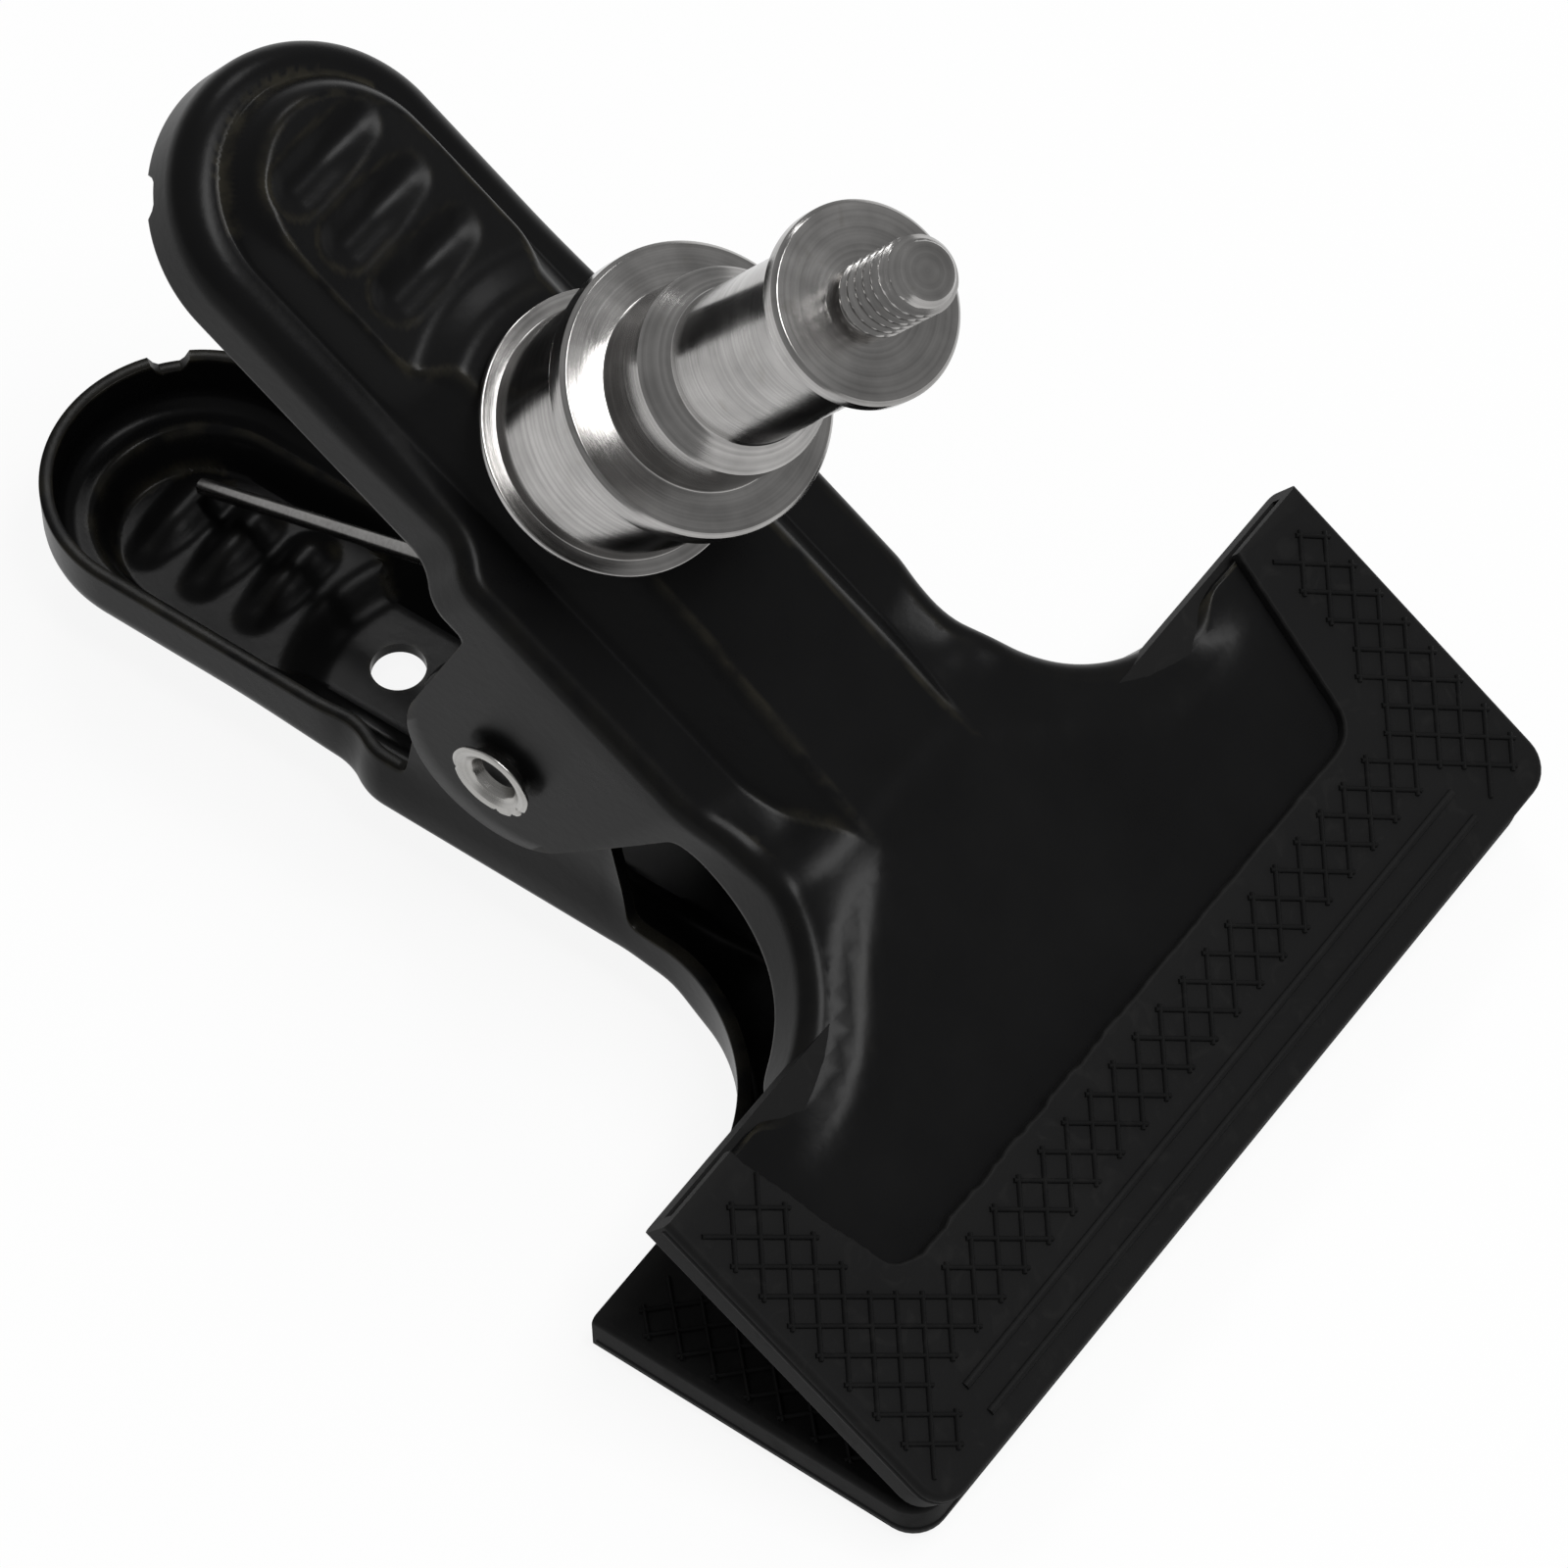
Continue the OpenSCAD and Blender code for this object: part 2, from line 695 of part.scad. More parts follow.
module spigot_base() {
  rim = base_flange_t / 3;
  color(nickel) on_spigot_axis(seat_h) difference() {
    rotate_extrude() polygon([
      [0, 0], [base_flange_r - 2 * rim, 0], [base_flange_r, base_flange_t - rim],
      [base_flange_r, base_flange_t], [base_r, base_flange_t], [base_r, base_h], [0, base_h]
    ]);
    translate([0, 0, -over]) cylinder(r = screw_r + screw_fit, h = base_h + 2 * over);
  }
}

module spigot_stud() {
  edge = rim_chamfer;
  step_z = flange_t + step_l;
  head_z = flange_t + stud_l;
  tip_z = head_z + thread_l;
  color(nickel) on_spigot_axis(stud_z) difference() {
    rotate_extrude() polygon([
      [0, 0], [flange_r, 0], [flange_r, flange_t - edge], [flange_r - edge, flange_t],
      [step_r, flange_t], [step_r, step_z - edge / 2], [step_r - edge / 2, step_z],
      [neck_r, step_z + cone_l], [neck_r, head_z - head_t - under_head_l],
      [head_r, head_z - head_t], [head_r, head_z - edge], [head_r - edge, head_z],
      [thread_r, head_z], [thread_r, tip_z - thread_chamfer],
      [thread_r - thread_chamfer, tip_z], [0, tip_z]
    ]);
    translate([0, 0, -over]) cylinder(r = screw_r + screw_fit, h = stud_depth + 2 * over);
  }
}

// Pan head inside the jaw, with a cross recess, and a shank up through the base into the stud
module fixing_screw() {
  bevel = screw_head_h / 3;
  color(zinc) on_spigot_axis(washer_z) difference() {
    rotate_extrude() polygon([
      [0, -screw_head_h], [screw_head_r - bevel, -screw_head_h], [screw_head_r, -screw_head_h + bevel],
      [screw_head_r, 0], [screw_r, 0], [screw_r, screw_l - bevel], [screw_r - bevel, screw_l], [0, screw_l]
    ]);
    for (a = [0, 90])
      rotate([0, 0, a]) translate([-recess_r, -recess_w / 2, -screw_head_h - over])
        cube([2 * recess_r, recess_w, over + screw_head_h / 2]);
  }
}

// A spring washer, split at one side
module lock_washer() {
  color(zinc) on_spigot_axis(washer_z) difference() {
    cylinder(r = washer_r, h = washer_t);
    translate([0, 0, -over]) cylinder(r = screw_r + screw_fit, h = washer_t + 2 * over);
    translate([0, -washer_gap / 2, -over]) cube([washer_r + over, washer_gap, washer_t + 2 * over]);
  }
}

lower_jaw();
upper_jaw();
lower_cover();
upper_cover();
pivot_rivet();
torsion_spring();
spigot_base();
spigot_stud();
fixing_screw();
lock_washer();
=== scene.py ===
"""Spring clamp with a light-stand spigot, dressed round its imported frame.

Jaws, covers and spigot are drawn in millimetres in their own frames: origin on the hinge
axis, +X to the mouth, +Z outwards. placed() turns them into the frame's metres.
"""

import json
import math

import bpy
import bmesh
import numpy as np
from mathutils import Matrix, Vector
from mathutils.geometry import delaunay_2d_cdt


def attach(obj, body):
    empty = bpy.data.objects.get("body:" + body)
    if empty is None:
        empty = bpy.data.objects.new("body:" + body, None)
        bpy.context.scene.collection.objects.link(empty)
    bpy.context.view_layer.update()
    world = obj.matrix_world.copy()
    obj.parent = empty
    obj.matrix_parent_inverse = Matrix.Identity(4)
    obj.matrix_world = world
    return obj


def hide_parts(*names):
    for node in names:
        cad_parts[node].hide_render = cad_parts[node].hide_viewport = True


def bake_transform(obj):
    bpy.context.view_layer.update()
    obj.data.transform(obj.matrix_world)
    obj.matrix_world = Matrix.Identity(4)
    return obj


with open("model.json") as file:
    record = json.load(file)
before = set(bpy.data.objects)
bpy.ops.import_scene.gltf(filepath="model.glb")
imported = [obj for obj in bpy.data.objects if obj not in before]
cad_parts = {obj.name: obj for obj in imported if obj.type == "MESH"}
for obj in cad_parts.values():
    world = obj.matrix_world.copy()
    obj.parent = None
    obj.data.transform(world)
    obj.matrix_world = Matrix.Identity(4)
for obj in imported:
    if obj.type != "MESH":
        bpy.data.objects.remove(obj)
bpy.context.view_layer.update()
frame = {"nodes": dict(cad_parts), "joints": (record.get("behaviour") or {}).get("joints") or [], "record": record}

MM = 0.001
PI = math.pi

# ---- where the frame's joint and stud put the jaws ----

record = frame["record"]
hinge = [joint for joint in frame["joints"] if joint["name"] == "jaw_hinge"][0]
hinge_at = np.array(hinge["pos_m"]) / MM
stud_axis = [m for m in record["mounts"] if m["name"] == "thread_stud"][0]["axis"]
closed = math.atan2(stud_axis[0], stud_axis[2])

LOWER = np.array([[1.0, 0, 0], [0, -1, 0], [0, 0, -1]])
UPPER = np.array([
    [math.cos(closed), 0, math.sin(closed)],
    [0, 1, 0],
    [-math.sin(closed), 0, math.cos(closed)],
])

# ---- sizes, in millimetres from the hinge axis ----

# Sheet, reach and cheeks
SHEET = 1.2
JAW_REACH = 61.8
HANDLE_REACH = 57.5
LOBE_R = 13.2
LOBE_X = LOBE_R - HANDLE_REACH
CHEEK_GAP = 0.2
UPPER_CHEEK = 15.5
LOWER_LEAN = 0.75
LOWER_CHEEK = UPPER_CHEEK - SHEET - CHEEK_GAP + LOWER_LEAN
JOG_L = 6.0
JOG_X = -16.6
JOG_BACK = JOG_X - JOG_L / 2
JOG_FRONT = JOG_X + JOG_L / 2
UPPER_PINCH = 0.7
LEAN_BACK, LEAN_FRONT, LEAN_TOP = -22.0, 15.0, 16.6
CUT_R = 0.16

# Heights of the pressed faces and of the free edge below them
RIM_H = 18.25
HANDLE_TOP_H = 21.95
PLATE_H = 22.45
SEAT_H = 23.85
HANDLE_EDGE_H = 11.4
FRONT_EDGE_H = 13.4

# Bends from the top into the skirt
BEND_R = 1.7
HANDLE_BEND_R = 2.9
SCOOP_BEND_R = 2.0
PLATE_BEND_R = 0.3

# Ridge along the handle and neck, with its finger grooves
RIDGE_HALF = 9.7
HANDLE_SLOPE = 2.387
NECK_SLOPE = 1.4
NECK_X = -32.5
NECK_L = 4.0
GROOVE_XS = (-35.7, -41.5, -47.3)
GROOVE_HALF = 3.9
GROOVE_REACH = 4.0
GROOVE_DEPTH = 0.9

# Seat of the spigot and its fall to the plate
SPIGOT_X = -16.1
SCREW_HOLE_R = 2.55
SEAT_R = 13.3
SEAT_SLOPE = 2.9
SEAT_FRONT = -4.06
FALL_X = 20.4

# Ramp beside the ridge, scoops and the ledge round them
RAMP_X = 12.3
RAMP_L = 6.5
RAMP_LAG = 1.1
RAMP_SIDE = 15.5
SCOOP_R = 15.4
SCOOP_X = 15.0
SCOOP_Y = 30.4
SCOOP_START = 9.0
LEDGE_DROP = 1.3
LEDGE_OFF = 1.9
LEDGE_W = 3.2
LEDGE_NECK_W = 6.2
LEDGE_BACK, LEDGE_FRONT, LEDGE_SIDE = 12.0, 28.5, 34.5

# Ears, hanging hole and the notch in the handle's edge
EAR_R = 8.8
EAR_DROP = 1.3
EAR_TAPER = math.radians(10.8)
HANG_X = -23.5
HANG_R = 2.4
NOTCH_ANGLE = math.radians(42)
NOTCH_W = 3.2
NOTCH_H = 1.3

# Plate and the rubber cover on it
PLATE_BACK = 29.9
PLATE_FRONT = 60.3
PLATE_HALF = 42.25
PLATE_CORNER = 1.5
COVER_BACK = 29.3
COVER_HALF = 43.75
COVER_TOP = 23.6
COVER_PAD = 19.4
COVER_CORNER = 3.0
POCKET_CORNER = 1.2
COVER_FIT = 0.05
COVER_EDGE_R = 0.7
WINDOW_LIP = 0.3
WINDOW_FRONT_X = COVER_BACK + 17.2
WINDOW_BACK_Y = 35.2
WINDOW_FRONT_Y = 31.9
WINDOW_R = 3.2

# Ribs of the covers
HATCH_PITCH = 2.335
HATCH_U, HATCH_V = 0.19, 1.105
HATCH_SPAN = range(-25, 50)
HATCH_OVERRUN = 0.45
HATCH_SIDE = 42.7
HATCH_NEAR, HATCH_FAR = 35.2, 36.9
HATCH_TAPER_X, HATCH_TAPER = 41.5, 0.62
HATCH_BACK, HATCH_BAND, HATCH_BAND_END = 31.2, 48.3, 54.2
HATCH_CORNER, HATCH_END = 54.0, 60.0
GRIP_END = 56.5
RIB_XS = (56.2, 59.1)
RIB_HALF = 34.7
RIB_OFF = 0.02

# Spigot, from the seat up
BASE_R = 10.4
BASE_RIM_R = 11.74
BASE_RIM_T = 1.6
BASE_H = 14.2
STUD_Z = SEAT_H + BASE_H
FLANGE_R = 11.86
FLANGE_T = 2.4
STEP_R = 8.27
STEP_Z = FLANGE_T + 6.15
NECK_R = 6.35
HEAD_R = 8.0
HEAD_Z = FLANGE_T + 28.45
TIP_Z = HEAD_Z + 9.6
THREAD_R = 3.175
THREAD_ROOT = 2.4
THREAD_PITCH = 1.27
TAPPED_DEPTH = 9.55

# Rivet and spring
RIVET_R = 2.5
RIVET_BORE_R = 1.7
WIRE = 1.5
COIL_R = 3.9
COIL_TURNS = 6
COIL_PITCH = WIRE + 0.5
LEG_REACH = 46.9
LEG_TIP_Y = 3.3
LEG_GAP = 0.3
LEG_TIP_H = HANDLE_TOP_H - SHEET - GROOVE_DEPTH - WIRE / 2 - LEG_GAP

# Fineness of the meshes, and how many points are tested at once
FLANK_IN, FLANK_OUT = 6.9, 11.3
FINE_X, FINE_Y = 24.5, 21.0
RIDGE_FRONT, RIM_FRONT = 22.5, 8.0
FINE_OUT, FINE_IN, COARSE = 0.36, 0.4, 1.5
HOLE_SIDES = 48
SPIGOT_SIDES = 128
RIVET_SIDES = 96
WIRE_SIDES = 20
COIL_STEPS = 260
BATCH = 1000


# ---- small helpers ----

def placed(points, turn):
    """Millimetres in a jaw's frame to metres in the frame of the whole clamp."""
    return (np.asarray(points, float) @ turn.T + hinge_at) * MM


def smooth(u):
    u = np.clip(u, 0.0, 1.0)
    return u * u * (3 - 2 * u)


def soft_min(a, b, k):
    h = np.clip(0.5 + 0.5 * (b - a) / k, 0, 1)
    return b * (1 - h) + a * h - k * h * (1 - h)


def soft_max(a, b, k):
    return -soft_min(-a, -b, k)


def added(name, data):
    """A new object, in the scene."""
    obj = bpy.data.objects.new(name, data)
    bpy.context.scene.collection.objects.link(obj)
    return obj


def mesh_object(name, points, faces, smooth_angle):
    mesh = bpy.data.meshes.new(name)
    mesh.from_pydata([tuple(p) for p in points], [], [tuple(int(i) for i in f) for f in faces])
    mesh.validate()
    obj = added(name, mesh)
    tidy(obj)
    shade(obj, smooth_angle)
    return obj


def move(obj, turn):
    """Turns a mesh drawn in a jaw's frame, in millimetres, into its place."""
    mesh = obj.data
    points = np.empty(len(mesh.vertices) * 3)
    mesh.vertices.foreach_get("co", points)
    mesh.vertices.foreach_set("co", placed(points.reshape(-1, 3), turn).ravel())
    mesh.update()


def tidy(obj, distance=1e-6):
    work = bmesh.new()
    work.from_mesh(obj.data)
    bmesh.ops.remove_doubles(work, verts=work.verts, dist=distance)
    bmesh.ops.dissolve_degenerate(work, edges=work.edges, dist=distance * 0.1)
    bmesh.ops.recalc_face_normals(work, faces=work.faces)
    work.to_mesh(obj.data)
    work.free()


def shade(obj, angle):
    obj.data.shade_smooth()
    obj.data.set_sharp_from_angle(angle=math.radians(angle))


def weigh(obj):
    """Lets the large flat faces set the shading at their rims."""
    obj.modifiers.new("weights", "WEIGHTED_NORMAL").keep_sharp = True
    bake(obj)
    return obj


def bake(obj):
    graph = bpy.context.evaluated_depsgraph_get()
    mesh = bpy.data.meshes.new_from_object(obj.evaluated_get(graph))
    obj.modifiers.clear()
    old, obj.data = obj.data, mesh
    bpy.data.meshes.remove(old)


def mark_bent_edges(obj, low, high):
    """Stores how sharply each point's surroundings are bent outwards, for the finish to pale there: as edge wear,
    and on the paint also as a painted highlight along the bends and crests.
    """
    work = bmesh.new()
    work.from_mesh(obj.data)
    wear_and_highlight = np.zeros(len(work.verts))
    for edge in work.edges:
        if len(edge.link_faces) == 2:
            a, b = edge.link_faces
            gap = (a.calc_center_median() - b.calc_center_median()).length / MM + 0.05
            bent = edge.calc_face_angle_signed(0.0) / gap
            for v in edge.verts:
                wear_and_highlight[v.index] = max(wear_and_highlight[v.index], bent)
    work.free()
    layer = obj.data.attributes.new("wear_and_highlight", "FLOAT", "POINT")
    layer.data.foreach_set("value", smooth((wear_and_highlight - low) / (high - low)))


def grid_faces(rows, columns, base=0, closed_columns=False):
    """Quads of a grid whose points run column by column in each row."""
    wrap = columns if closed_columns else columns - 1
    return [
        (base + r * columns + c, base + r * columns + (c + 1) % columns,
         base + (r + 1) * columns + (c + 1) % columns, base + (r + 1) * columns + c)
        for r in range(rows - 1) for c in range(wrap)
    ]


def closing_faces(rows, columns):
    """Quads that join the last row of a grid of closed rows to its first."""
    last = (rows - 1) * columns
    return [(last + i, last + (i + 1) % columns, (i + 1) % columns, i) for i in range(columns)]


def steps(a, b, size):
    return np.linspace(a, b, max(2, int(math.ceil(abs(b - a) / size)) + 1))


def hoop(radius, height, w):
    """One ring of points round the third axis."""
    return np.column_stack([radius * np.cos(w), radius * np.sin(w), np.full(len(w), height)])


def triangulated(points, edges):
    """Points and triangles of a flat mesh that keeps the given edges."""
    out = delaunay_2d_cdt([Vector(p) for p in points], edges, [], 0, 1e-7)
    return np.array([tuple(v) for v in out[0]]), np.array([f for f in out[2] if len(f) == 3])


# ---- the pressed skin, at its outer face (t = 0) or its inner one (t = SHEET) ----

def ridge_distance(x, y):
    return np.where(x < LOBE_X, np.hypot(x - LOBE_X, y), np.abs(y))


def flat_height(x, y, t):
    """Height of the rim, the ramp and the plate, with the ledge round each scoop."""
    side = np.abs(y)
    tilt = (PLATE_H - RIM_H) / RAMP_L
    lag = RAMP_LAG * smooth((RAMP_SIDE - side) / 5.5)
    ramp = RIM_H + (x - RAMP_X - lag) * tilt - t * math.sqrt(1 + tilt * tilt)
    level = soft_min(ramp, PLATE_H - t, 1.3 - 0.5 * t / SHEET)
    off = np.hypot(x - SCOOP_X, side - SCOOP_Y) - SCOOP_R
    width = LEDGE_W + LEDGE_NECK_W * smooth((LEDGE_FRONT - x) / 7)
    ledge = (1 - smooth((off - LEDGE_OFF) / width)) * smooth((x - LEDGE_BACK) / 6)
    level = level - LEDGE_DROP * (ledge * smooth((LEDGE_SIDE - side) / 8))
    return soft_max(level, RIM_H - t, 1.5 + 0.4 * t / SHEET)


def seat_height(x, y, t):
    """Top of the ridge: the handle's flat, the cone up to the seat and the fall to the plate."""
    cone_tilt = (SEAT_H - HANDLE_TOP_H) / SEAT_SLOPE
    rho = np.hypot(x - SPIGOT_X, y)
    cone = SEAT_H + (SEAT_R - rho) * cone_tilt - t * math.sqrt(1 + cone_tilt ** 2)
    fall = (SEAT_H - PLATE_H) / (FALL_X - SEAT_FRONT)
    seat = soft_min(SEAT_H - t, SEAT_H - (x - SEAT_FRONT) * fall - t, 0.25)
    behind = soft_max(HANDLE_TOP_H - t, soft_min(seat, cone, 0.55), 0.5)
    return np.where(x < SPIGOT_X, behind, seat)


def skin(x, y, t=0.0):
    """Height of the skin over points of the plan. Its grooves are deepest towards -Y."""
    x, y = np.asarray(x, float), np.asarray(y, float)
    inner = t / SHEET
    neck = smooth((x - NECK_X) / NECK_L)
    slope = HANDLE_SLOPE + (NECK_SLOPE - HANDLE_SLOPE) * neck
    foot = RIDGE_HALF + 0.1 * neck
    flank = RIM_H + (foot - ridge_distance(x, y)) * slope - t * np.sqrt(1 + slope * slope)
    top = seat_height(x, y, t)
    depth = GROOVE_DEPTH * (1.15 - 0.75 * smooth((y + 0.5) / 5.5))
    for groove_x in GROOVE_XS:
        away = np.hypot(x - groove_x, np.maximum(np.abs(y) - GROOVE_HALF, 0))
        dent = HANDLE_TOP_H - depth - t + away ** 2 / (3.6 + 1.0 * inner)
        top = np.where(away < GROOVE_REACH, soft_min(top, dent, 1.1 - 0.5 * inner), top)
    end = smooth((LOBE_X + 3.0 - x) / 7.0)
    ridge = soft_min(flank, top, 1.0 + 1.6 * end - (0.7 + 1.2 * end) * inner)
    return soft_max(ridge, flat_height(x, y, t), 0.6 + 0.7 * inner)


# ---- outline of a jaw: plan, height of its free edge and radius of its bend ----

def ear_edge():
    """Side view of the skirt's free edge from the handle to the scoop."""
    low_x = EAR_R * math.cos(EAR_TAPER)
    low_z = -EAR_DROP - EAR_R * math.sin(EAR_TAPER)
    lean = math.tan(EAR_TAPER)
    arc = [
        (EAR_R * math.cos(w), -EAR_DROP + EAR_R * math.sin(w))
        for w in np.linspace(PI + EAR_TAPER, 2 * PI - EAR_TAPER, 40)
    ]
    back = (-low_x - (HANDLE_EDGE_H - low_z) * lean, HANDLE_EDGE_H)
    front = (low_x + (FRONT_EDGE_H - low_z) * lean, FRONT_EDGE_H)
    return back, arc, front


def corner(a, b, c):
    """The corner at b: its point, the two ways out of it, the shorter side and half its angle."""
    a, b, c = map(np.array, (a, b, c))
    u, v = a - b, c - b
    lu, lv = np.linalg.norm(u), np.linalg.norm(v)
    u, v = u / lu, v / lv
    return b, u, v, min(lu, lv), math.acos(np.clip(u @ v, -1, 1)) / 2


def round_polyline(points, radius):
    """Rounds the inner corners of a polyline with parabolas."""
    out = [points[0]]
    for three in zip(points, points[1:], points[2:]):
        at, u, v, shorter, half = corner(*three)
        run = min(radius / math.tan(half), 0.45 * shorter)
        out += [tuple(at + u * run * (1 - s) ** 2 + v * run * s * s)
                for s in np.linspace(0, 1, 6)]
    out.append(points[-1])
    return out


def neck_bend(x):
    return HANDLE_BEND_R + (BEND_R - HANDLE_BEND_R) * smooth((x + 32) / 16)


def jog_y(x, cheek):
    """The S-bend of the side, from the handle's width out to the cheek."""
    step = cheek - LOBE_R
    r = (JOG_L ** 2 + step ** 2) / (4 * step)
    if x < JOG_X:
        return LOBE_R + r - math.sqrt(r * r - (x - JOG_BACK) ** 2)
    return cheek - r + math.sqrt(r * r - (JOG_FRONT - x) ** 2)


def jaw_outline(cheek, pinch):
    """Rows of x, y, edge height and bend radius, for y from 0 at the handle to 0 at the front."""
    rows = []

    def add(x, y, edge, bend):
        rows.append((x, y, edge, bend))

    for w in steps(PI, PI / 2, 0.035):
        add(LOBE_X + LOBE_R * math.cos(w), LOBE_R * math.sin(w), HANDLE_EDGE_H, HANDLE_BEND_R)
    for x in steps(LOBE_X, JOG_BACK, 0.8)[1:]:
        add(x, LOBE_R, HANDLE_EDGE_H, neck_bend(x))
    for x in steps(JOG_BACK, JOG_FRONT, 0.3)[1:]:
        add(x, jog_y(x, cheek), HANDLE_EDGE_H, neck_bend(x))

    # Along the cheek: down round the ear and up again to the scoop
    back, arc, front = ear_edge()
    line = round_polyline([(JOG_FRONT, HANDLE_EDGE_H), back, arc[0]], 1.2)[1:-1]
    line += arc + round_polyline([arc[-1], front, (SCOOP_X, FRONT_EDGE_H)], 1.5)[1:]
    last = (JOG_FRONT, HANDLE_EDGE_H)
    for point in line:
        length = math.hypot(point[0] - last[0], point[1] - last[1])
        for s in np.linspace(0, 1, max(1, int(length / 0.6)) + 1)[1:]:
            x = last[0] + (point[0] - last[0]) * s
            z = last[1] + (point[1] - last[1]) * s
            y = cheek - pinch * float(smooth((x - SCOOP_START) / 6))
            add(x, y, z, BEND_R + (SCOOP_BEND_R - BEND_R) * smooth((x - SCOOP_START) / 7))
        last = point

    # Round the scoop, where the skirt runs out to the plate's thickness
    middle = cheek - pinch + SCOOP_R
    for w in steps(-PI / 2, -0.12, 0.04)[1:]:
        done = (w + PI / 2) / (PI / 2)
        edge = FRONT_EDGE_H + 2.0 * smooth(done / 0.6) + 6.2 * smooth((done - 0.72) / 0.30) ** 1.5
        add(SCOOP_X + SCOOP_R * math.cos(w), middle + SCOOP_R * math.sin(w),
            edge, SCOOP_BEND_R)
    xa, ya, edge_a = rows[-1][:3]
    plate_edge = PLATE_H - SHEET
    for s in np.linspace(0, 1, 14)[1:]:
        y = ya + 4.2 * s
        x = xa + (PLATE_BACK - xa) * smooth(s) + 0.12 * math.sin(PI * s)
        add(x, y, edge_a + (plate_edge - edge_a) * smooth(s * 1.15),
            PLATE_BEND_R + (SCOOP_BEND_R - PLATE_BEND_R) * (1 - smooth(s * 1.1)))

    # Round the plate
    def plate(x, y):
        add(x, y, plate_edge, PLATE_BEND_R)

    for y in steps(rows[-1][1], PLATE_HALF - 0.3, 1.0)[1:]:
        plate(PLATE_BACK, y)
    plate(PLATE_BACK + 0.09, PLATE_HALF - 0.09)
    for x in steps(PLATE_BACK + 0.3, PLATE_FRONT - PLATE_CORNER, 1.5):
        plate(x, PLATE_HALF)
    for w in np.linspace(PI / 2, 0, 9)[1:]:
        plate(PLATE_FRONT - PLATE_CORNER + PLATE_CORNER * math.cos(w),
              PLATE_HALF - PLATE_CORNER + PLATE_CORNER * math.sin(w))
    for y in steps(PLATE_HALF - PLATE_CORNER, 0, 1.5)[1:]:
        plate(PLATE_FRONT, y)

    # The other half mirrors this one, apart from its notch
    half = np.array(rows)
    other = half[-2:0:-1].copy()
    other[:, 1] *= -1
    round_end = other[:, 0] < LOBE_X
    angle = np.arctan2(-other[:, 1], LOBE_X - other[:, 0])
    notch = smooth((NOTCH_W / 2 - abs(angle - NOTCH_ANGLE) * LOBE_R) / 0.35) * round_end
    other[:, 2] += NOTCH_H * notch
    return np.concatenate([half, other])


def outward(outline):
    """Unit normals of a closed plan outline that runs clockwise seen from +Z."""
    ahead = np.roll(outline, -1, 0) - outline
    behind = outline - np.roll(outline, 1, 0)
    ahead /= np.linalg.norm(ahead, axis=1, keepdims=True)
    behind /= np.linalg.norm(behind, axis=1, keepdims=True)
    along = behind + ahead
    along /= np.linalg.norm(along, axis=1, keepdims=True)
    return np.stack([-along[:, 1], along[:, 0]], 1)


def inside(points, ring):
    """Which points lie inside a closed ring, by counting the sides that a ray crosses."""
    x0, y0 = ring[:, 0], ring[:, 1]
    x1, y1 = np.roll(x0, -1), np.roll(y0, -1)
    result = np.zeros(len(points), bool)
    for batch in range(0, len(points), BATCH):
        x, y = points[batch:batch + BATCH, 0, None], points[batch:batch + BATCH, 1, None]
        with np.errstate(divide="ignore", invalid="ignore"):
            at = x0 + (y - y0) * (x1 - x0) / (y1 - y0)
        crossed = ((y0 > y) != (y1 > y)) & (x < at)
        result[batch:batch + BATCH] = np.sum(crossed, axis=1) % 2 == 1
    return result


def ring_distance(points, ring):
    """Least distance of each point to the ring's segments."""
    d = np.roll(ring, -1, 0) - ring
    length = np.sum(d * d, 1)
    least = np.empty(len(points))
    for batch in range(0, len(points), BATCH):
        p = points[batch:batch + BATCH, None, :] - ring[None]
        u = np.clip(np.sum(p * d, 2) / length, 0, 1)
        gaps = np.linalg.norm(p - u[..., None] * d, axis=2)
        least[batch:batch + BATCH] = np.min(gaps, axis=1)
    return least


def grid_points(ring, hole, fine):
    """Points inside the ring: rows along the ridge's flanks, a fine grid on the other pressed
    forms and a wide one on the flats."""
    flank = []
    for d in np.arange(FLANK_IN, FLANK_OUT, 0.45 * fine):
        for w in steps(PI / 2, 3 * PI / 2, 1.4 * fine / d):
            flank.append((LOBE_X + d * math.cos(w), d * math.sin(w)))
        for x in np.arange(LOBE_X + 1.4 * fine, FINE_X, 1.6 * fine):
            flank += [(x, d), (x, -d)]

    def grid(left, right, half, gap):
        xs, ys = np.arange(left, right, gap), np.arange(0, half, gap)
        return np.array(np.meshgrid(xs, np.concatenate([-ys[:0:-1], ys]))).reshape(2, -1).T

    left, right = ring[:, 0].min(), ring[:, 0].max()
    near = grid(left, FINE_X, FINE_Y, fine)
    d = ridge_distance(near[:, 0], near[:, 1])
    pressed = (d < FLANK_IN - 0.3 * fine) | ((d > FLANK_OUT) & (near[:, 0] > RIM_FRONT))
    near = near[pressed & ((d > FLANK_OUT) | (near[:, 0] < RIDGE_FRONT))]
    far = grid(left, right, ring[:, 1].max(), COARSE) + 0.013
    d = ridge_distance(far[:, 0], far[:, 1])
    clear = (far[:, 0] > FINE_X) | (np.abs(far[:, 1]) > FINE_Y)
    clear |= (d > FLANK_OUT) & (far[:, 0] < RIM_FRONT)
    points = np.concatenate([np.array(flank), near, far[clear]])
    points = points[inside(points, ring)]
    points = points[ring_distance(points, ring) > 0.22]
    return points[np.hypot(points[:, 0] - hole[0], points[:, 1]) > hole[1] + 0.2]


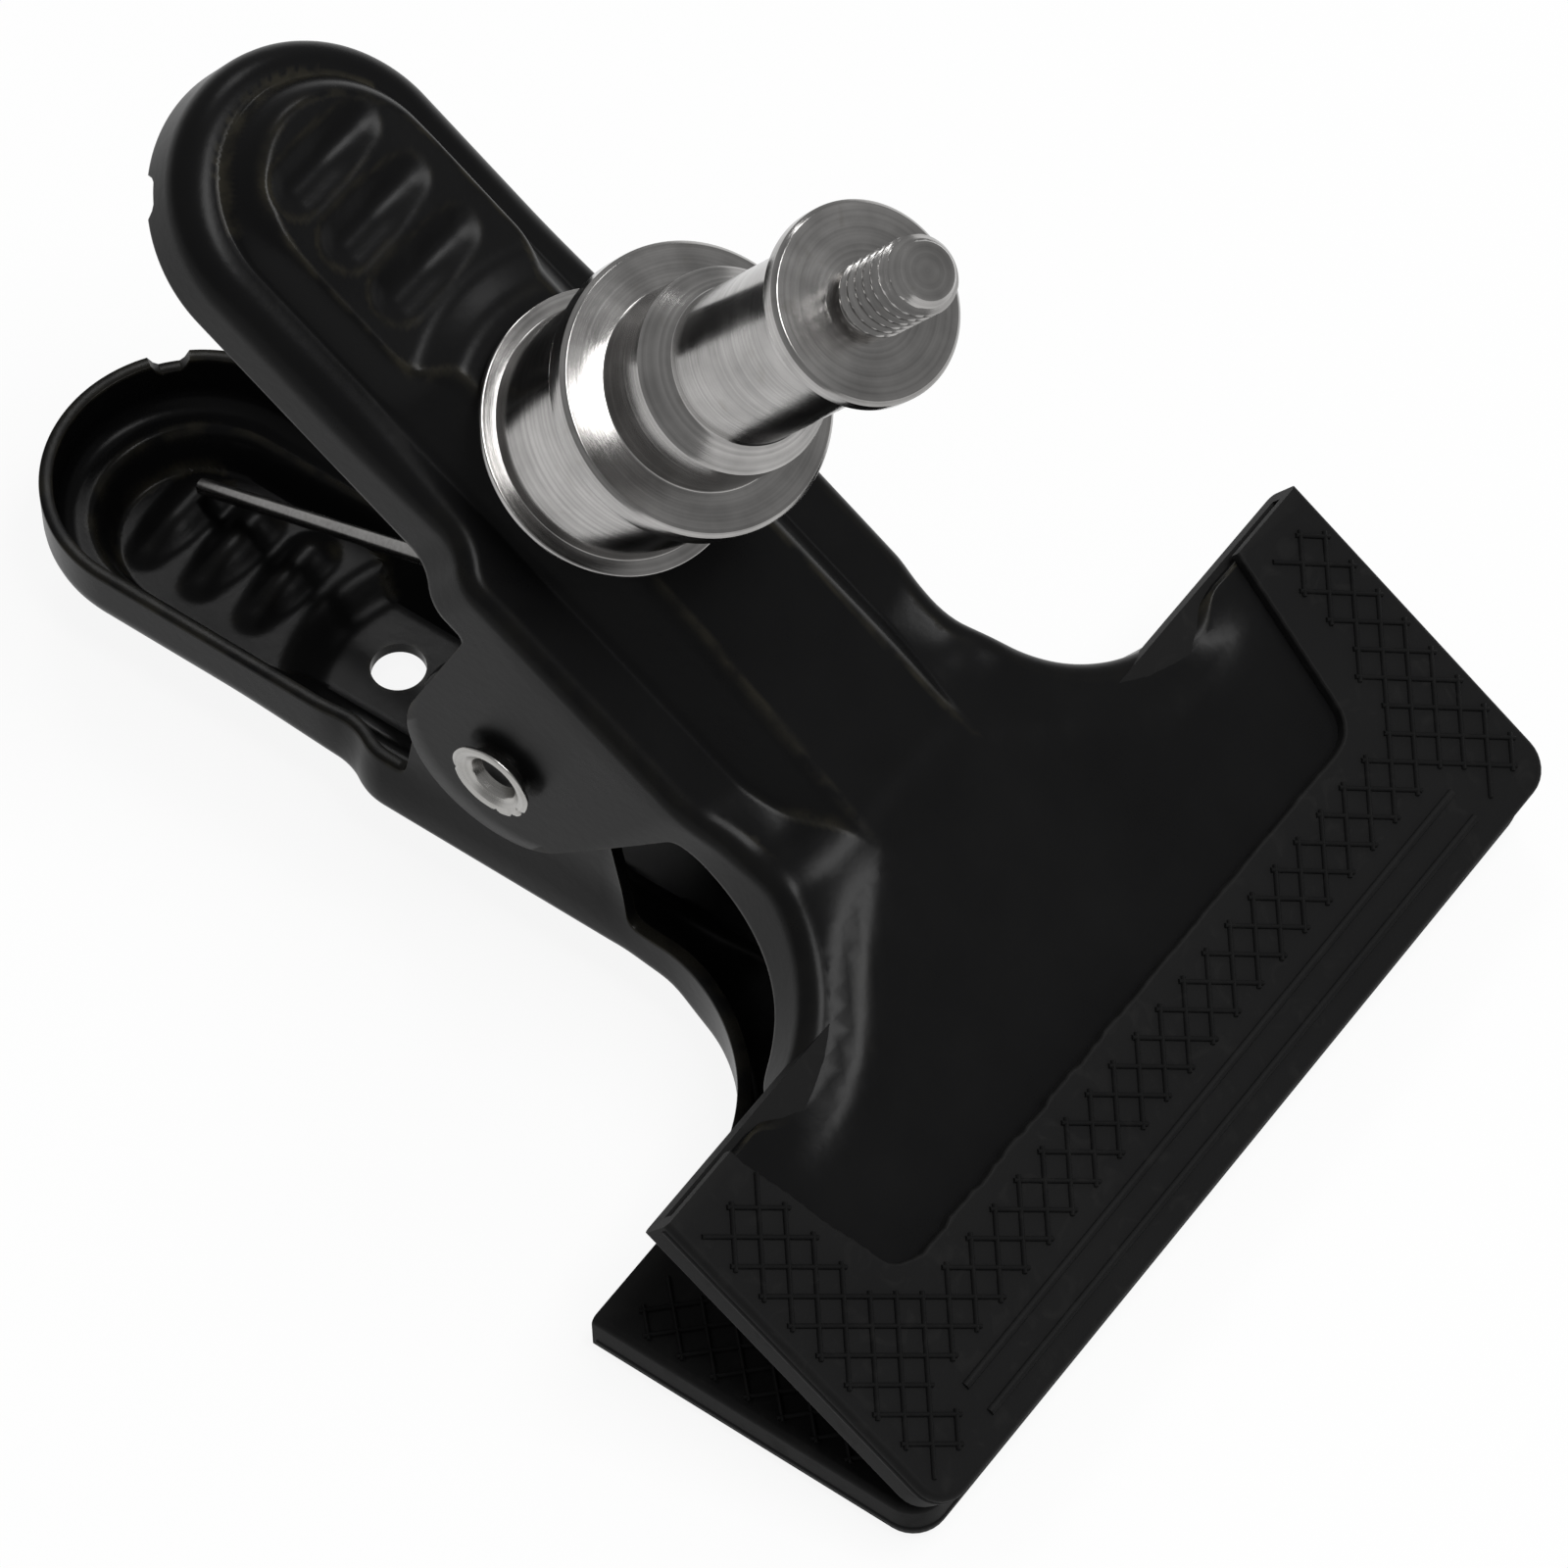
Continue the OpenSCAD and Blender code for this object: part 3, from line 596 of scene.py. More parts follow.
def filled(ring, hole, fine):
    """Points and triangles inside a ring, round a hole (its x and radius): the ring's own
    points first, then the hole's."""
    w = np.linspace(0, 2 * PI, HOLE_SIDES, endpoint=False)
    rim = np.stack([hole[0] + hole[1] * np.cos(w), hole[1] * np.sin(w)], 1)
    points = np.concatenate([ring, rim, grid_points(ring, hole, fine)])
    edges, base = [], 0
    for loop in (ring, rim):
        n = len(loop)
        edges += [(base + i, base + (i + 1) % n) for i in range(n)]
        base += n
    new, tris = triangulated(points, edges)
    middle = new[tris].mean(axis=1)
    return new, tris[inside(middle, ring) & ~inside(middle, rim)]


def jaw_mesh(name, cheek, pinch, lean, hole, turn):
    """A jaw: its skirt's two faces with their bends, the rounded cut edge and the two skins."""
    outline = jaw_outline(cheek, pinch)
    plan, edge, bend = outline[:, :2], outline[:, 2], outline[:, 3]
    normal = outward(plan)
    n = len(plan)
    sharp = bend < SHEET
    ring = plan - normal * bend[:, None]
    top_out = skin(ring[:, 0], ring[:, 1])
    top_in = skin(ring[:, 0], ring[:, 1], SHEET)
    centre = top_out - bend
    edge = np.minimum(edge, top_out - np.minimum(SHEET, bend + SHEET))
    start = np.where(edge > centre, np.arcsin(np.clip((edge - centre) / bend, 0, 0.999)), 0.0)
    start = np.where(sharp, 0.0, start)
    x = plan[:, 0]
    leaning = lean * smooth((x - LEAN_BACK) / 6) * smooth((LEAN_FRONT - x) / 6)
    wall_rows, arc_rows = 10, 9

    def profile(t):
        off = np.minimum(bend, SHEET) * (t > 0)
        radius = np.maximum(bend - t, 0.0) if t else bend
        base = np.where(sharp, top_in - radius, centre) if t else centre
        rows = []
        low = np.where(start > 0, base + radius * np.sin(start), np.minimum(edge, base))
        for k in range(wall_rows):
            z = low + (base - low) * (k / wall_rows)
            z = np.where(start > 0, base + radius * np.sin(start), z)
            inward = np.where(start > 0, off + radius * (1 - np.cos(start)), off)
            inward = inward + leaning * smooth((LEAN_TOP - z) / 7.5)
            rows.append(np.column_stack([plan - normal * inward[:, None], z]))
        for k in range(arc_rows + 1):
            a = start + (PI / 2 - start) * k / arc_rows
            inward = off + radius * (1 - np.cos(a))
            if t:
                inward = np.where(sharp, bend * (k > 0) + off * (k == 0), inward)
            z = base + radius * np.sin(a)
            rows.append(np.column_stack([plan - normal * inward[:, None], z]))
        return np.array(rows)

    outer, inner = profile(0.0), profile(SHEET)
    inner[-1][:, 2] = top_in

    # A small rounding along both edges of the cut
    a, b = outer[0].copy(), inner[0].copy()
    across = b - a
    across /= np.maximum(np.linalg.norm(across, axis=1, keepdims=True), 1e-9)
    up = outer[wall_rows] - a
    up = np.where(np.linalg.norm(up, axis=1, keepdims=True) > 0.5, up, outer[-1] - a)
    up /= np.maximum(np.linalg.norm(up, axis=1, keepdims=True), 1e-9)
    r = CUT_R
    rim = [a + up * r, a + up * r * 0.3 + across * r * 0.3, a + across * r,
           b - across * r, b - across * r * 0.3 + up * r * 0.3, b + up * r]
    outer[0], inner[0] = rim[0], rim[-1]

    points, faces = [], []

    def push(block, new, flip=False):
        """Adds points and their faces, and returns the first point's number."""
        at = sum(map(len, points))
        points.append(block.reshape(-1, 3))
        faces.extend(tuple(at + i for i in (f[::-1] if flip else f)) for f in new)
        return at

    push(outer, grid_faces(len(outer), n, 0, True), True)
    push(np.array(rim), grid_faces(len(rim), n, 0, True))
    push(inner, grid_faces(len(inner), n, 0, True))
    rings = []
    for t, fine in ((0.0, FINE_OUT), (SHEET, FINE_IN)):
        flat, tris = filled(ring, hole, fine)
        block = np.column_stack([flat, skin(flat[:, 0], flat[:, 1], t)])
        rings.append(push(block, tris, t > 0) + n)
    high, low = rings
    for i in range(HOLE_SIDES):
        j = (i + 1) % HOLE_SIDES
        faces.append((high + i, high + j, low + j, low + i))
    return mesh_object(name, placed(np.concatenate(points), turn), faces, 38)


# ---- turned pieces ----

def rounded_profile(points, radii):
    """A polyline of radius and height with its corners rounded to their radii."""
    out = [points[0]]
    for three, r in zip(zip(points, points[1:], points[2:]), radii):
        at, u, v, shorter, half = corner(*three)
        run = min(r / math.tan(half), 0.48 * shorter)
        r = run * math.tan(half)
        centre = at + (u + v) / np.linalg.norm(u + v) * r / math.sin(half)
        p, q = at + u * run - centre, at + v * run - centre
        a0 = math.atan2(p[1], p[0])
        turn = (math.atan2(q[1], q[0]) - a0 + 3 * PI) % (2 * PI) - PI
        out += [tuple(centre + r * np.array([math.cos(a0 + turn * s), math.sin(a0 + turn * s)]))
                for s in np.linspace(0, 1, 5)]
    out.append(points[-1])
    return out


def on_spigot(name, points, faces, height):
    """A piece turned about the spigot's axis, set at its height on the upper jaw."""
    return mesh_object(name, placed(points + (SPIGOT_X, 0, height), UPPER), faces, 30)


def spigot_base():
    """The cylinder on the seat, with its rim at the foot and the screw's hole through it."""
    points = [
        (SCREW_HOLE_R, 0), (10.7, 0), (BASE_RIM_R, 1.05), (BASE_RIM_R, BASE_RIM_T),
        (BASE_R, BASE_RIM_T), (BASE_R, BASE_H), (SCREW_HOLE_R, BASE_H),
    ]
    w = np.linspace(0, 2 * PI, SPIGOT_SIDES, endpoint=False)
    rows = [hoop(*point, w) for point in rounded_profile(points, [0.1, 0.15, 0.15, 0.1, 0.1])]
    faces = grid_faces(len(rows), SPIGOT_SIDES, 0, True) + closing_faces(len(rows), SPIGOT_SIDES)
    return on_spigot("spigot_base_turned", np.concatenate(rows), faces, SEAT_H)


def spigot_stud():
    """Flange, step, neck and head, the thread on top and the tapped hole from below."""
    points = [
        (SCREW_HOLE_R, 0), (FLANGE_R, 0), (FLANGE_R, 2.0), (11.5, FLANGE_T), (STEP_R, FLANGE_T),
        (STEP_R, STEP_Z - 0.22), (8.05, STEP_Z), (NECK_R, STEP_Z + 1.7),
        (NECK_R, HEAD_Z - 3.5), (HEAD_R, HEAD_Z - 1.6), (HEAD_R, HEAD_Z - 0.35), (7.65, HEAD_Z),
        (THREAD_ROOT, HEAD_Z), (THREAD_ROOT, HEAD_Z + 0.3),
    ]
    radii = [0.15, 0.1, 0.1, 0.15, 0.08, 0.08, 0.4, 0.3, 0.25, 0.1, 0.1, 0.1]
    w = np.linspace(0, 2 * PI, SPIGOT_SIDES, endpoint=False)
    rows = [hoop(*point, w) for point in rounded_profile(points, radii)]
    for height in np.arange(HEAD_Z + 0.3, TIP_Z + 1e-6, THREAD_PITCH / 16):
        u = ((height - HEAD_Z) / THREAD_PITCH - w / (2 * PI)) % 1.0
        tooth = np.clip(1.25 - 2.7 * np.abs(u - 0.5), 0.0, 1.0)
        tooth = tooth * smooth((height - HEAD_Z - 0.4) / 1.0)
        radius = THREAD_ROOT + (THREAD_R - THREAD_ROOT) * tooth
        rows.append(hoop(np.minimum(radius, THREAD_R - 0.9 + 0.8 * (TIP_Z - height)), height, w))
    faces = grid_faces(len(rows), SPIGOT_SIDES, 0, True)
    last = (len(rows) - 1) * SPIGOT_SIDES
    tip = last + SPIGOT_SIDES
    deep = tip + 1
    bottom = deep + 2 * SPIGOT_SIDES
    rows += [[(0, 0, TIP_Z)], hoop(SCREW_HOLE_R, TAPPED_DEPTH, w), hoop(SCREW_HOLE_R, 0, w),
             [(0, 0, TAPPED_DEPTH)]]
    for i in range(SPIGOT_SIDES):
        j = (i + 1) % SPIGOT_SIDES
        faces.append((last + i, last + j, tip))
        faces.append((deep + j, deep + i, i, j))
        faces.append((deep + i, deep + j, bottom))
    return on_spigot("spigot_stud_turned", np.concatenate(rows), faces, STUD_Z)


# ---- rivet ----

def rivet():
    """A hollow rivet, headed at one end and rolled over, with its splits, at the other."""
    y0 = UPPER_CHEEK + 0.1
    profile = [
        (RIVET_BORE_R, -y0 - 0.8), (3.7, -y0 - 0.8), (3.7, -y0), (RIVET_R, -y0),
        (RIVET_R, y0 - 0.2), (2.75, y0 + 0.35), (3.35, y0 + 0.8), (3.75, y0 + 1.0),
        (3.8, y0 + 1.25), (3.45, y0 + 1.42), (2.9, y0 + 1.3), (2.2, y0 + 0.8),
        (RIVET_BORE_R, y0 - 0.3),
    ]
    radii = [0.3, 0.3, 0.1, 0.1, 0.3, 0.3, 0.2, 0.15, 0.2, 0.3, 0.4, 0.3]
    w = np.linspace(0, 2 * PI, RIVET_SIDES, endpoint=False)
    split = sum(np.exp(-(((w - a + PI) % (2 * PI) - PI) / 0.055) ** 2) * deep
                for a, deep in ((5.35, 1.0), (5.75, 0.8), (4.85, 0.5), (0.35, 0.3), (3.3, 0.35)))
    ripple = 0.03 * np.sin(5 * w + 0.7) + 0.02 * np.sin(9 * w)
    rows = []
    for radius, y in rounded_profile(profile + [profile[0]], radii)[:-1]:
        rolled = smooth((radius - 2.9) / 0.5) * (y > y0 + 0.6)
        r = radius - rolled * (0.42 * split - ripple)
        rows.append(np.column_stack([r * np.cos(w), -(y - rolled * 0.22 * split), r * np.sin(w)]))
    faces = grid_faces(len(rows), RIVET_SIDES, 0, True) + closing_faces(len(rows), RIVET_SIDES)
    world = (np.concatenate(rows) + hinge_at) * MM
    return mesh_object("pivot_rivet_rolled", world, faces, 40)


# ---- torsion spring ----

def spring_path():
    """The wire's middle line: the lower leg, the coil on the hinge axis and the upper leg."""
    lean = math.atan2(LEG_TIP_H, LEG_REACH) - math.asin(COIL_R / math.hypot(LEG_REACH, LEG_TIP_H))
    first = lean - PI / 2
    sweep = 2 * PI * (COIL_TURNS - 1) + PI - closed - 2 * lean
    half = COIL_PITCH * sweep / (4 * PI)

    def coil(turned_by):
        a = first + turned_by
        return (COIL_R * math.cos(a), half - COIL_PITCH * turned_by / (2 * PI),
                COIL_R * math.sin(a))

    c, s = math.cos(closed), math.sin(closed)
    low_tip = (-LEG_REACH, LEG_TIP_Y, -LEG_TIP_H)
    up_tip = (-LEG_REACH * c + LEG_TIP_H * s, -LEG_TIP_Y, LEG_REACH * s + LEG_TIP_H * c)
    path = [tuple(np.array(low_tip) + (np.array(coil(0)) - low_tip) * f)
            for f in np.linspace(0, 1, 16)[:-1]]
    path += [coil(sweep * i / COIL_STEPS) for i in range(COIL_STEPS + 1)]
    path += [tuple(np.array(coil(sweep)) + (np.array(up_tip) - coil(sweep)) * f)
             for f in np.linspace(0, 1, 16)[1:]]
    return np.array(path)


def spring():
    path = spring_path()
    n = len(path)
    tangent = np.gradient(path, axis=0)
    tangent /= np.linalg.norm(tangent, axis=1, keepdims=True)
    side = np.cross(tangent, [0, 1, 0])
    side /= np.linalg.norm(side, axis=1, keepdims=True)
    other = np.cross(tangent, side)
    w = np.linspace(0, 2 * PI, WIRE_SIDES, endpoint=False)

    def ring(i, radius, along=0.0):
        return (path[i] + tangent[i] * along
                + radius * (np.cos(w)[:, None] * side[i] + np.sin(w)[:, None] * other[i]))

    r = WIRE / 2
    rows = [ring(0, r * 0.8), ring(0, r, 0.15)]
    rows += [ring(i, r) for i in range(1, n - 1)]
    rows += [ring(n - 1, r, -0.15), ring(n - 1, r * 0.8)]
    faces = grid_faces(len(rows), WIRE_SIDES, 0, True)
    count = len(rows) * WIRE_SIDES
    points = np.concatenate([*rows, [path[0]], [path[-1]]])
    for i in range(WIRE_SIDES):
        j = (i + 1) % WIRE_SIDES
        faces.append((j, i, count))
        faces.append((count - WIRE_SIDES + i, count - WIRE_SIDES + j, count + 1))
    return mesh_object("torsion_spring_wound", (points + hinge_at) * MM, faces, 40)


# ---- covers ----

def u_path(back, front, half, corner, back_half=None, gap=1.5):
    """Open plan path round the front from one back corner to the other, with its normals."""
    back_half = back_half or half
    lean = math.atan2(back_half - half, front - back)
    turn_in = PI / 2 - lean
    run = corner * math.tan(turn_in / 2)
    side = np.array([math.cos(lean), -math.sin(lean)])
    corner_at = np.array([front, half])
    centre = corner_at - np.array([corner, run])
    points, normals = [], []
    start, end = np.array([back, back_half]), corner_at - side * run
    for s in steps(0, 1, gap / np.linalg.norm(end - start)):
        points.append(start + (end - start) * s)
        normals.append((side[1] * -1, side[0]))
    for w in np.linspace(PI / 2 - lean, 0, 9)[1:]:
        points.append(centre + corner * np.array([math.cos(w), math.sin(w)]))
        normals.append((math.cos(w), math.sin(w)))
    for y in steps(centre[1], 0, gap)[1:]:
        points.append((front, y))
        normals.append((1.0, 0.0))
    points, normals = np.array(points), np.array(normals)
    normals[0] = (0.0, 1.0)
    flip = np.array([1, -1])
    return (np.concatenate([points, points[-2::-1] * flip]),
            np.concatenate([normals, normals[-2::-1] * flip]))


def ragged(plan, normals):
    """The trimmed edge of the window: a little uneven, more so in its near half."""
    x, y = plan[:, 0], plan[:, 1]
    wave = np.sin(0.9 * y + 1.3) + 0.7 * np.sin(2.3 * y + 0.4 * x) + 0.5 * np.sin(4.1 * (x + y))
    near = 0.3 + 0.7 * smooth((4.0 - y) / 12.0)
    return plan + normals * (0.10 * wave * near * (x > COVER_BACK + 0.5))[:, None]


def cover_mesh(name, turn):
    """The moulded cover: a pad under the plate, a pocket for it and a window over it."""
    points, faces = [], []

    def push(block):
        points.extend(map(tuple, block))
        return len(points) - len(block)

    def strip(rows, flip):
        count = len(rows[0])
        at = push(np.concatenate(rows))
        for face in grid_faces(len(rows), count, at):
            faces.append(face[::-1] if flip else face)

    def cap(ring, axes, flip):
        flat = ring[:, axes]
        count = len(flat)
        plane, tris = triangulated(flat, [(i, (i + 1) % count) for i in range(count)])
        tris = tris[inside(plane[tris].mean(axis=1), flat)]
        block = np.full((len(plane), 3), ring[0, 3 - sum(axes)])
        block[:, axes] = plane
        at = push(block)
        faces.extend(tuple(at + i for i in (f[::-1] if flip else f)) for f in tris)

    def row(path, normals, out, z):
        plan = path + normals * out
        return np.column_stack([plan, np.full(len(plan), z)])

    e, lip, fit = COVER_EDGE_R, WINDOW_LIP, COVER_FIT
    low, high = PLATE_H - SHEET - fit, PLATE_H + fit
    outer, outer_n = u_path(COVER_BACK, JAW_REACH, COVER_HALF, COVER_CORNER)
    pocket, pocket_n = u_path(COVER_BACK, PLATE_FRONT + fit, PLATE_HALF + fit, POCKET_CORNER)
    window, window_n = u_path(COVER_BACK, WINDOW_FRONT_X, WINDOW_FRONT_Y, WINDOW_R,
                              WINDOW_BACK_Y, 0.5)
    window = ragged(window, window_n)
    quarter = np.linspace(0, PI / 2, 7)
    wall = [row(outer, outer_n, -e * (1 - math.sin(w)), COVER_PAD + e * (1 - math.cos(w)))
            for w in quarter]
    wall += [row(outer, outer_n, -e * (1 - math.cos(w)), COVER_TOP - e * (1 - math.sin(w)))
             for w in quarter]
    inner = [row(pocket, pocket_n, 0, z) for z in (low, high)]
    rim = [row(window, window_n, 0, high)]
    rim += [row(window, window_n, lip * (1 - math.cos(w)), COVER_TOP - lip + lip * math.sin(w))
            for w in quarter[:-1:2]]
    rim.append(row(window, window_n, lip, COVER_TOP))
    strip(wall, False)
    strip(inner, True)
    strip(rim, True)
    cap(wall[0], [0, 1], True)
    cap(inner[0], [0, 1], False)
    cap(np.concatenate([inner[1], rim[0][::-1]]), [0, 1], True)
    cap(np.concatenate([wall[-1], rim[-1][::-1]]), [0, 1], False)
    back = [r[0] for r in wall] + [r[0] for r in rim[::-1]] + [r[0] for r in inner[::-1]]
    back += [r[-1] for r in inner] + [r[-1] for r in rim] + [r[-1] for r in wall[::-1]]
    cap(np.array(back), [1, 2], True)
    return weigh(mesh_object(name, placed(points, turn), faces, 30))


# ---- repeated ribs, drawn as lines and given their round section by a node tree ----

def rib_tree(name):
    """Runs a round section, squashed to a width and a height in millimetres, along lines."""
    tree = bpy.data.node_groups.new(name, "GeometryNodeTree")
    face = tree.interface
    face.new_socket("Lines", in_out="INPUT", socket_type="NodeSocketGeometry")
    for label, value in (("Rib width", 0.4), ("Rib height", 0.3)):
        socket = face.new_socket(label, in_out="INPUT", socket_type="NodeSocketFloat")
        socket.default_value = value
    face.new_socket("Finish", in_out="INPUT", socket_type="NodeSocketMaterial")
    face.new_socket("Ribs", in_out="OUTPUT", socket_type="NodeSocketGeometry")
    start, end, to_curve, section, half, size, scale, sweep, realize, paint = [
        tree.nodes.new(kind) for kind in (
            "NodeGroupInput", "NodeGroupOutput", "GeometryNodeMeshToCurve",
            "GeometryNodeCurvePrimitiveCircle", "ShaderNodeMath", "ShaderNodeCombineXYZ",
            "GeometryNodeTransform", "GeometryNodeCurveToMesh", "GeometryNodeRealizeInstances",
            "GeometryNodeSetMaterial")]
    section.inputs["Resolution"].default_value = 8
    section.inputs["Radius"].default_value = 1.0
    half.operation = "MULTIPLY"
    half.inputs[1].default_value = 0.5
    size.inputs["Z"].default_value = 1.0
    sweep.inputs["Fill Caps"].default_value = True
    for source, out, target, into in (
            (start, "Lines", to_curve, "Mesh"),
            (start, "Rib width", half, 0),
            (half, 0, size, "X"),
            (start, "Rib height", size, "Y"),
            (section, "Curve", scale, "Geometry"),
            (size, 0, scale, "Scale"),
            (to_curve, "Curve", sweep, "Curve"),
            (scale, "Geometry", sweep, "Profile Curve"),
            (sweep, "Mesh", realize, "Geometry"),
            (realize, "Geometry", paint, "Geometry"),
            (start, "Finish", paint, "Material"),
            (paint, "Geometry", end, "Ribs")):
        tree.links.new(source.outputs[out], target.inputs[into])
    return tree


def hatch_field(x, y):
    """The band round the window that is hatched, and its two outer corners."""
    side = abs(y)
    inner = (HATCH_NEAR if y < 0 else HATCH_FAR) - HATCH_TAPER * max(0.0, x - HATCH_TAPER_X)
    front = HATCH_BAND < x < HATCH_BAND_END
    flank = HATCH_BACK < x < HATCH_BAND_END and inner < side < HATCH_SIDE
    outer = HATCH_CORNER < x < HATCH_END and HATCH_FAR < side < HATCH_SIDE
    return (front and side < HATCH_SIDE) or flank or outer


def grip_field(x, y):
    """The hatched part of the pad, which ends short of the front."""
    return hatch_field(x, y) and x < GRIP_END


def hatch_lines(field, z):
    """Ends of each straight rib of the hatch, at 45 degrees both ways."""
    lines = []

    def at(j, k):
        u, v = HATCH_U + HATCH_PITCH * j, HATCH_V + HATCH_PITCH * k
        return (u + v) / math.sqrt(2), (u - v) / math.sqrt(2)

    for swap in (False, True):
        for k in HATCH_SPAN:
            run = []
            for j in [*HATCH_SPAN, None]:
                here = None if j is None else (at(k, j) if swap else at(j, k))
                if here and field(*here):
                    run.append(here)
                    continue
                if len(run) > 1:
                    a, b = np.array(run[0]), np.array(run[-1])
                    over = (b - a) / np.linalg.norm(b - a) * HATCH_OVERRUN
                    lines.append(((*(a - over), z), (*(b + over), z)))
                run = []
    return lines


def ribbed(name, lines, width, height, finish, turn):
    """Runs the rib tree over a set of lines and makes one plain mesh of the result."""
    points = [p for line in lines for p in line]
    edges, at = [], 0
    for line in lines:
        edges += [(at + i, at + i + 1) for i in range(len(line) - 1)]
        at += len(line)
    mesh = bpy.data.meshes.new(name)
    mesh.from_pydata(points, edges, [])
    obj = added(name, mesh)
    tool = obj.modifiers.new("ribs", "NODES")
    tool.node_group = rib_group
    sockets = {item.name: item.identifier for item in rib_group.interface.items_tree}
    tool[sockets["Rib width"]] = width
    tool[sockets["Rib height"]] = height
    tool[sockets["Finish"]] = finish
    bake(obj)
    move(obj, turn)
    tidy(obj, 1e-7)
    shade(obj, 50)
    return obj


def cover_ribs(name, turn, finish):
    """The hatch and the two long ribs of a cover, the hatch of its pad and its parting line."""
    hatch = hatch_lines(hatch_field, COVER_TOP + RIB_OFF)
    grip = hatch_lines(grip_field, COVER_PAD - RIB_OFF)
    bars = [[(x, y, COVER_TOP - RIB_OFF) for y in (-RIB_HALF, -10.0, 10.0, RIB_HALF)]
            for x in RIB_XS]
    path, _ = u_path(COVER_BACK + 0.4, JAW_REACH, COVER_HALF, COVER_CORNER)
    seam = [[(x, y, PLATE_H) for x, y in path]]
    return [ribbed(name + part, lines, width, height, finish, turn)
            for part, lines, width, height in (
                ("_hatch", hatch, 0.42, 0.34), ("_grip", grip, 0.42, 0.3),
                ("_bars", bars, 0.8, 0.36), ("_seam", seam, 0.22, 0.3))]


# ---- finishes ----

class Finish:
    """A material with short calls for the nodes that these finishes share."""

    def __init__(self, name, metallic):
        self.made = bpy.data.materials.new(name)
        self.made.use_nodes = True
        self.tree = self.made.node_tree
        self.shader = self.tree.nodes["Principled BSDF"]
        self.shader.inputs["Metallic"].default_value = metallic
        self.here = self.tree.nodes.new("ShaderNodeTexCoord").outputs["Object"]

    def feed(self, socket, source):
        """Links another node's output to a socket, or sets the socket's own value."""
        if isinstance(source, bpy.types.NodeSocket):
            self.tree.links.new(source, socket)
        else:
            socket.default_value = source

    def add(self, kind, links=(), **values):
        node = self.tree.nodes.new(kind)
        for key, value in values.items():
            setattr(node, key, value)
        for socket, source in dict(links).items():
            self.feed(node.inputs[socket], source)
        return node

    def noise(self, size, detail, at=None, stretch=0.0):
        """Noise whose grains are about so many millimetres across."""
        node = self.add("ShaderNodeTexNoise", {
            "Vector": at or self.here, "Scale": 1 / (size * MM), "Detail": detail,
            "Distortion": stretch})
        return node.outputs[0]

    def between(self, value, low, high, a=0.0, b=1.0):
        node = self.add("ShaderNodeMapRange", {
            "Value": value, "From Min": low, "From Max": high, "To Min": a, "To Max": b})
        return node.outputs["Result"]

    def sum(self, a, b, how="ADD"):
        return self.add("ShaderNodeMath", {0: a, 1: b}, operation=how).outputs[0]

    def colour(self, amount, a, b):
        node = self.add("ShaderNodeMix", data_type="RGBA")
        for number, value in ((0, amount), (6, a), (7, b)):
            self.feed(node.inputs[number], (*value, 1) if isinstance(value, tuple) else value)
        return node.outputs[2]

    def bump(self, height, strength, depth, under=None):
        node = self.add("ShaderNodeBump", {"Height": height, "Strength": strength,
                                           "Distance": depth * MM})
        if under:
            self.tree.links.new(under, node.inputs["Normal"])
        return node.outputs[0]

    def set(self, **sources):
        for name, source in sources.items():
            self.feed(self.shader.inputs[name.replace("_", " ")], source)

    def lathe(self, at, turn):
        """Coordinates that run out from a turned piece's axis and along it."""
        local = self.add("ShaderNodeMapping", {"Vector": self.here, "Location": at,
                                               "Rotation": turn}, vector_type="TEXTURE")
        flat = self.add("ShaderNodeVectorMath", {0: local.outputs[0], 1: (1, 1, 0)},
                        operation="MULTIPLY")
        out = self.add("ShaderNodeVectorMath", {0: flat.outputs[0]}, operation="LENGTH")
        parts = self.add("ShaderNodeSeparateXYZ", {0: local.outputs[0]})
        joined = self.add("ShaderNodeCombineXYZ", {"X": out.outputs["Value"],
                                                   "Z": parts.outputs["Z"]})
        return joined.outputs[0]


def painted(name):
    f = Finish(name, 0.0)
    wear_and_highlight = f.add("ShaderNodeAttribute", attribute_name="wear_and_highlight").outputs["Fac"]
    cloud = f.noise(9.0, 3.0)
    peel = f.noise(0.9, 1.0)
    grain = f.noise(0.16, 2.0)
    # Paler, warmer paint on sharp bends and crests: partly edge wear, partly a painted highlight along the bend
    # lines.
    rubbed_and_highlit = f.sum(wear_and_highlight, f.between(f.noise(2.4, 4.0), 0.35, 0.62), "MULTIPLY")
    base = f.colour(cloud, (0.0036, 0.0036, 0.0038), (0.0060, 0.0060, 0.0061))
    f.set(Base_Color=f.colour(f.sum(rubbed_and_highlit, 0.75, "MULTIPLY"), base, (0.022, 0.020, 0.0145)))
    rough = f.between(f.sum(cloud, f.sum(grain, 0.5, "MULTIPLY")), 0.4, 1.1, 0.25, 0.35)
    f.set(Roughness=f.sum(rough, f.sum(rubbed_and_highlit, 0.06, "MULTIPLY"), "SUBTRACT"),
          Specular_IOR_Level=0.075)
    under = f.bump(peel, 0.10, 0.12)
    f.set(Normal=f.bump(grain, 0.10, 0.03, under))
    return f.made


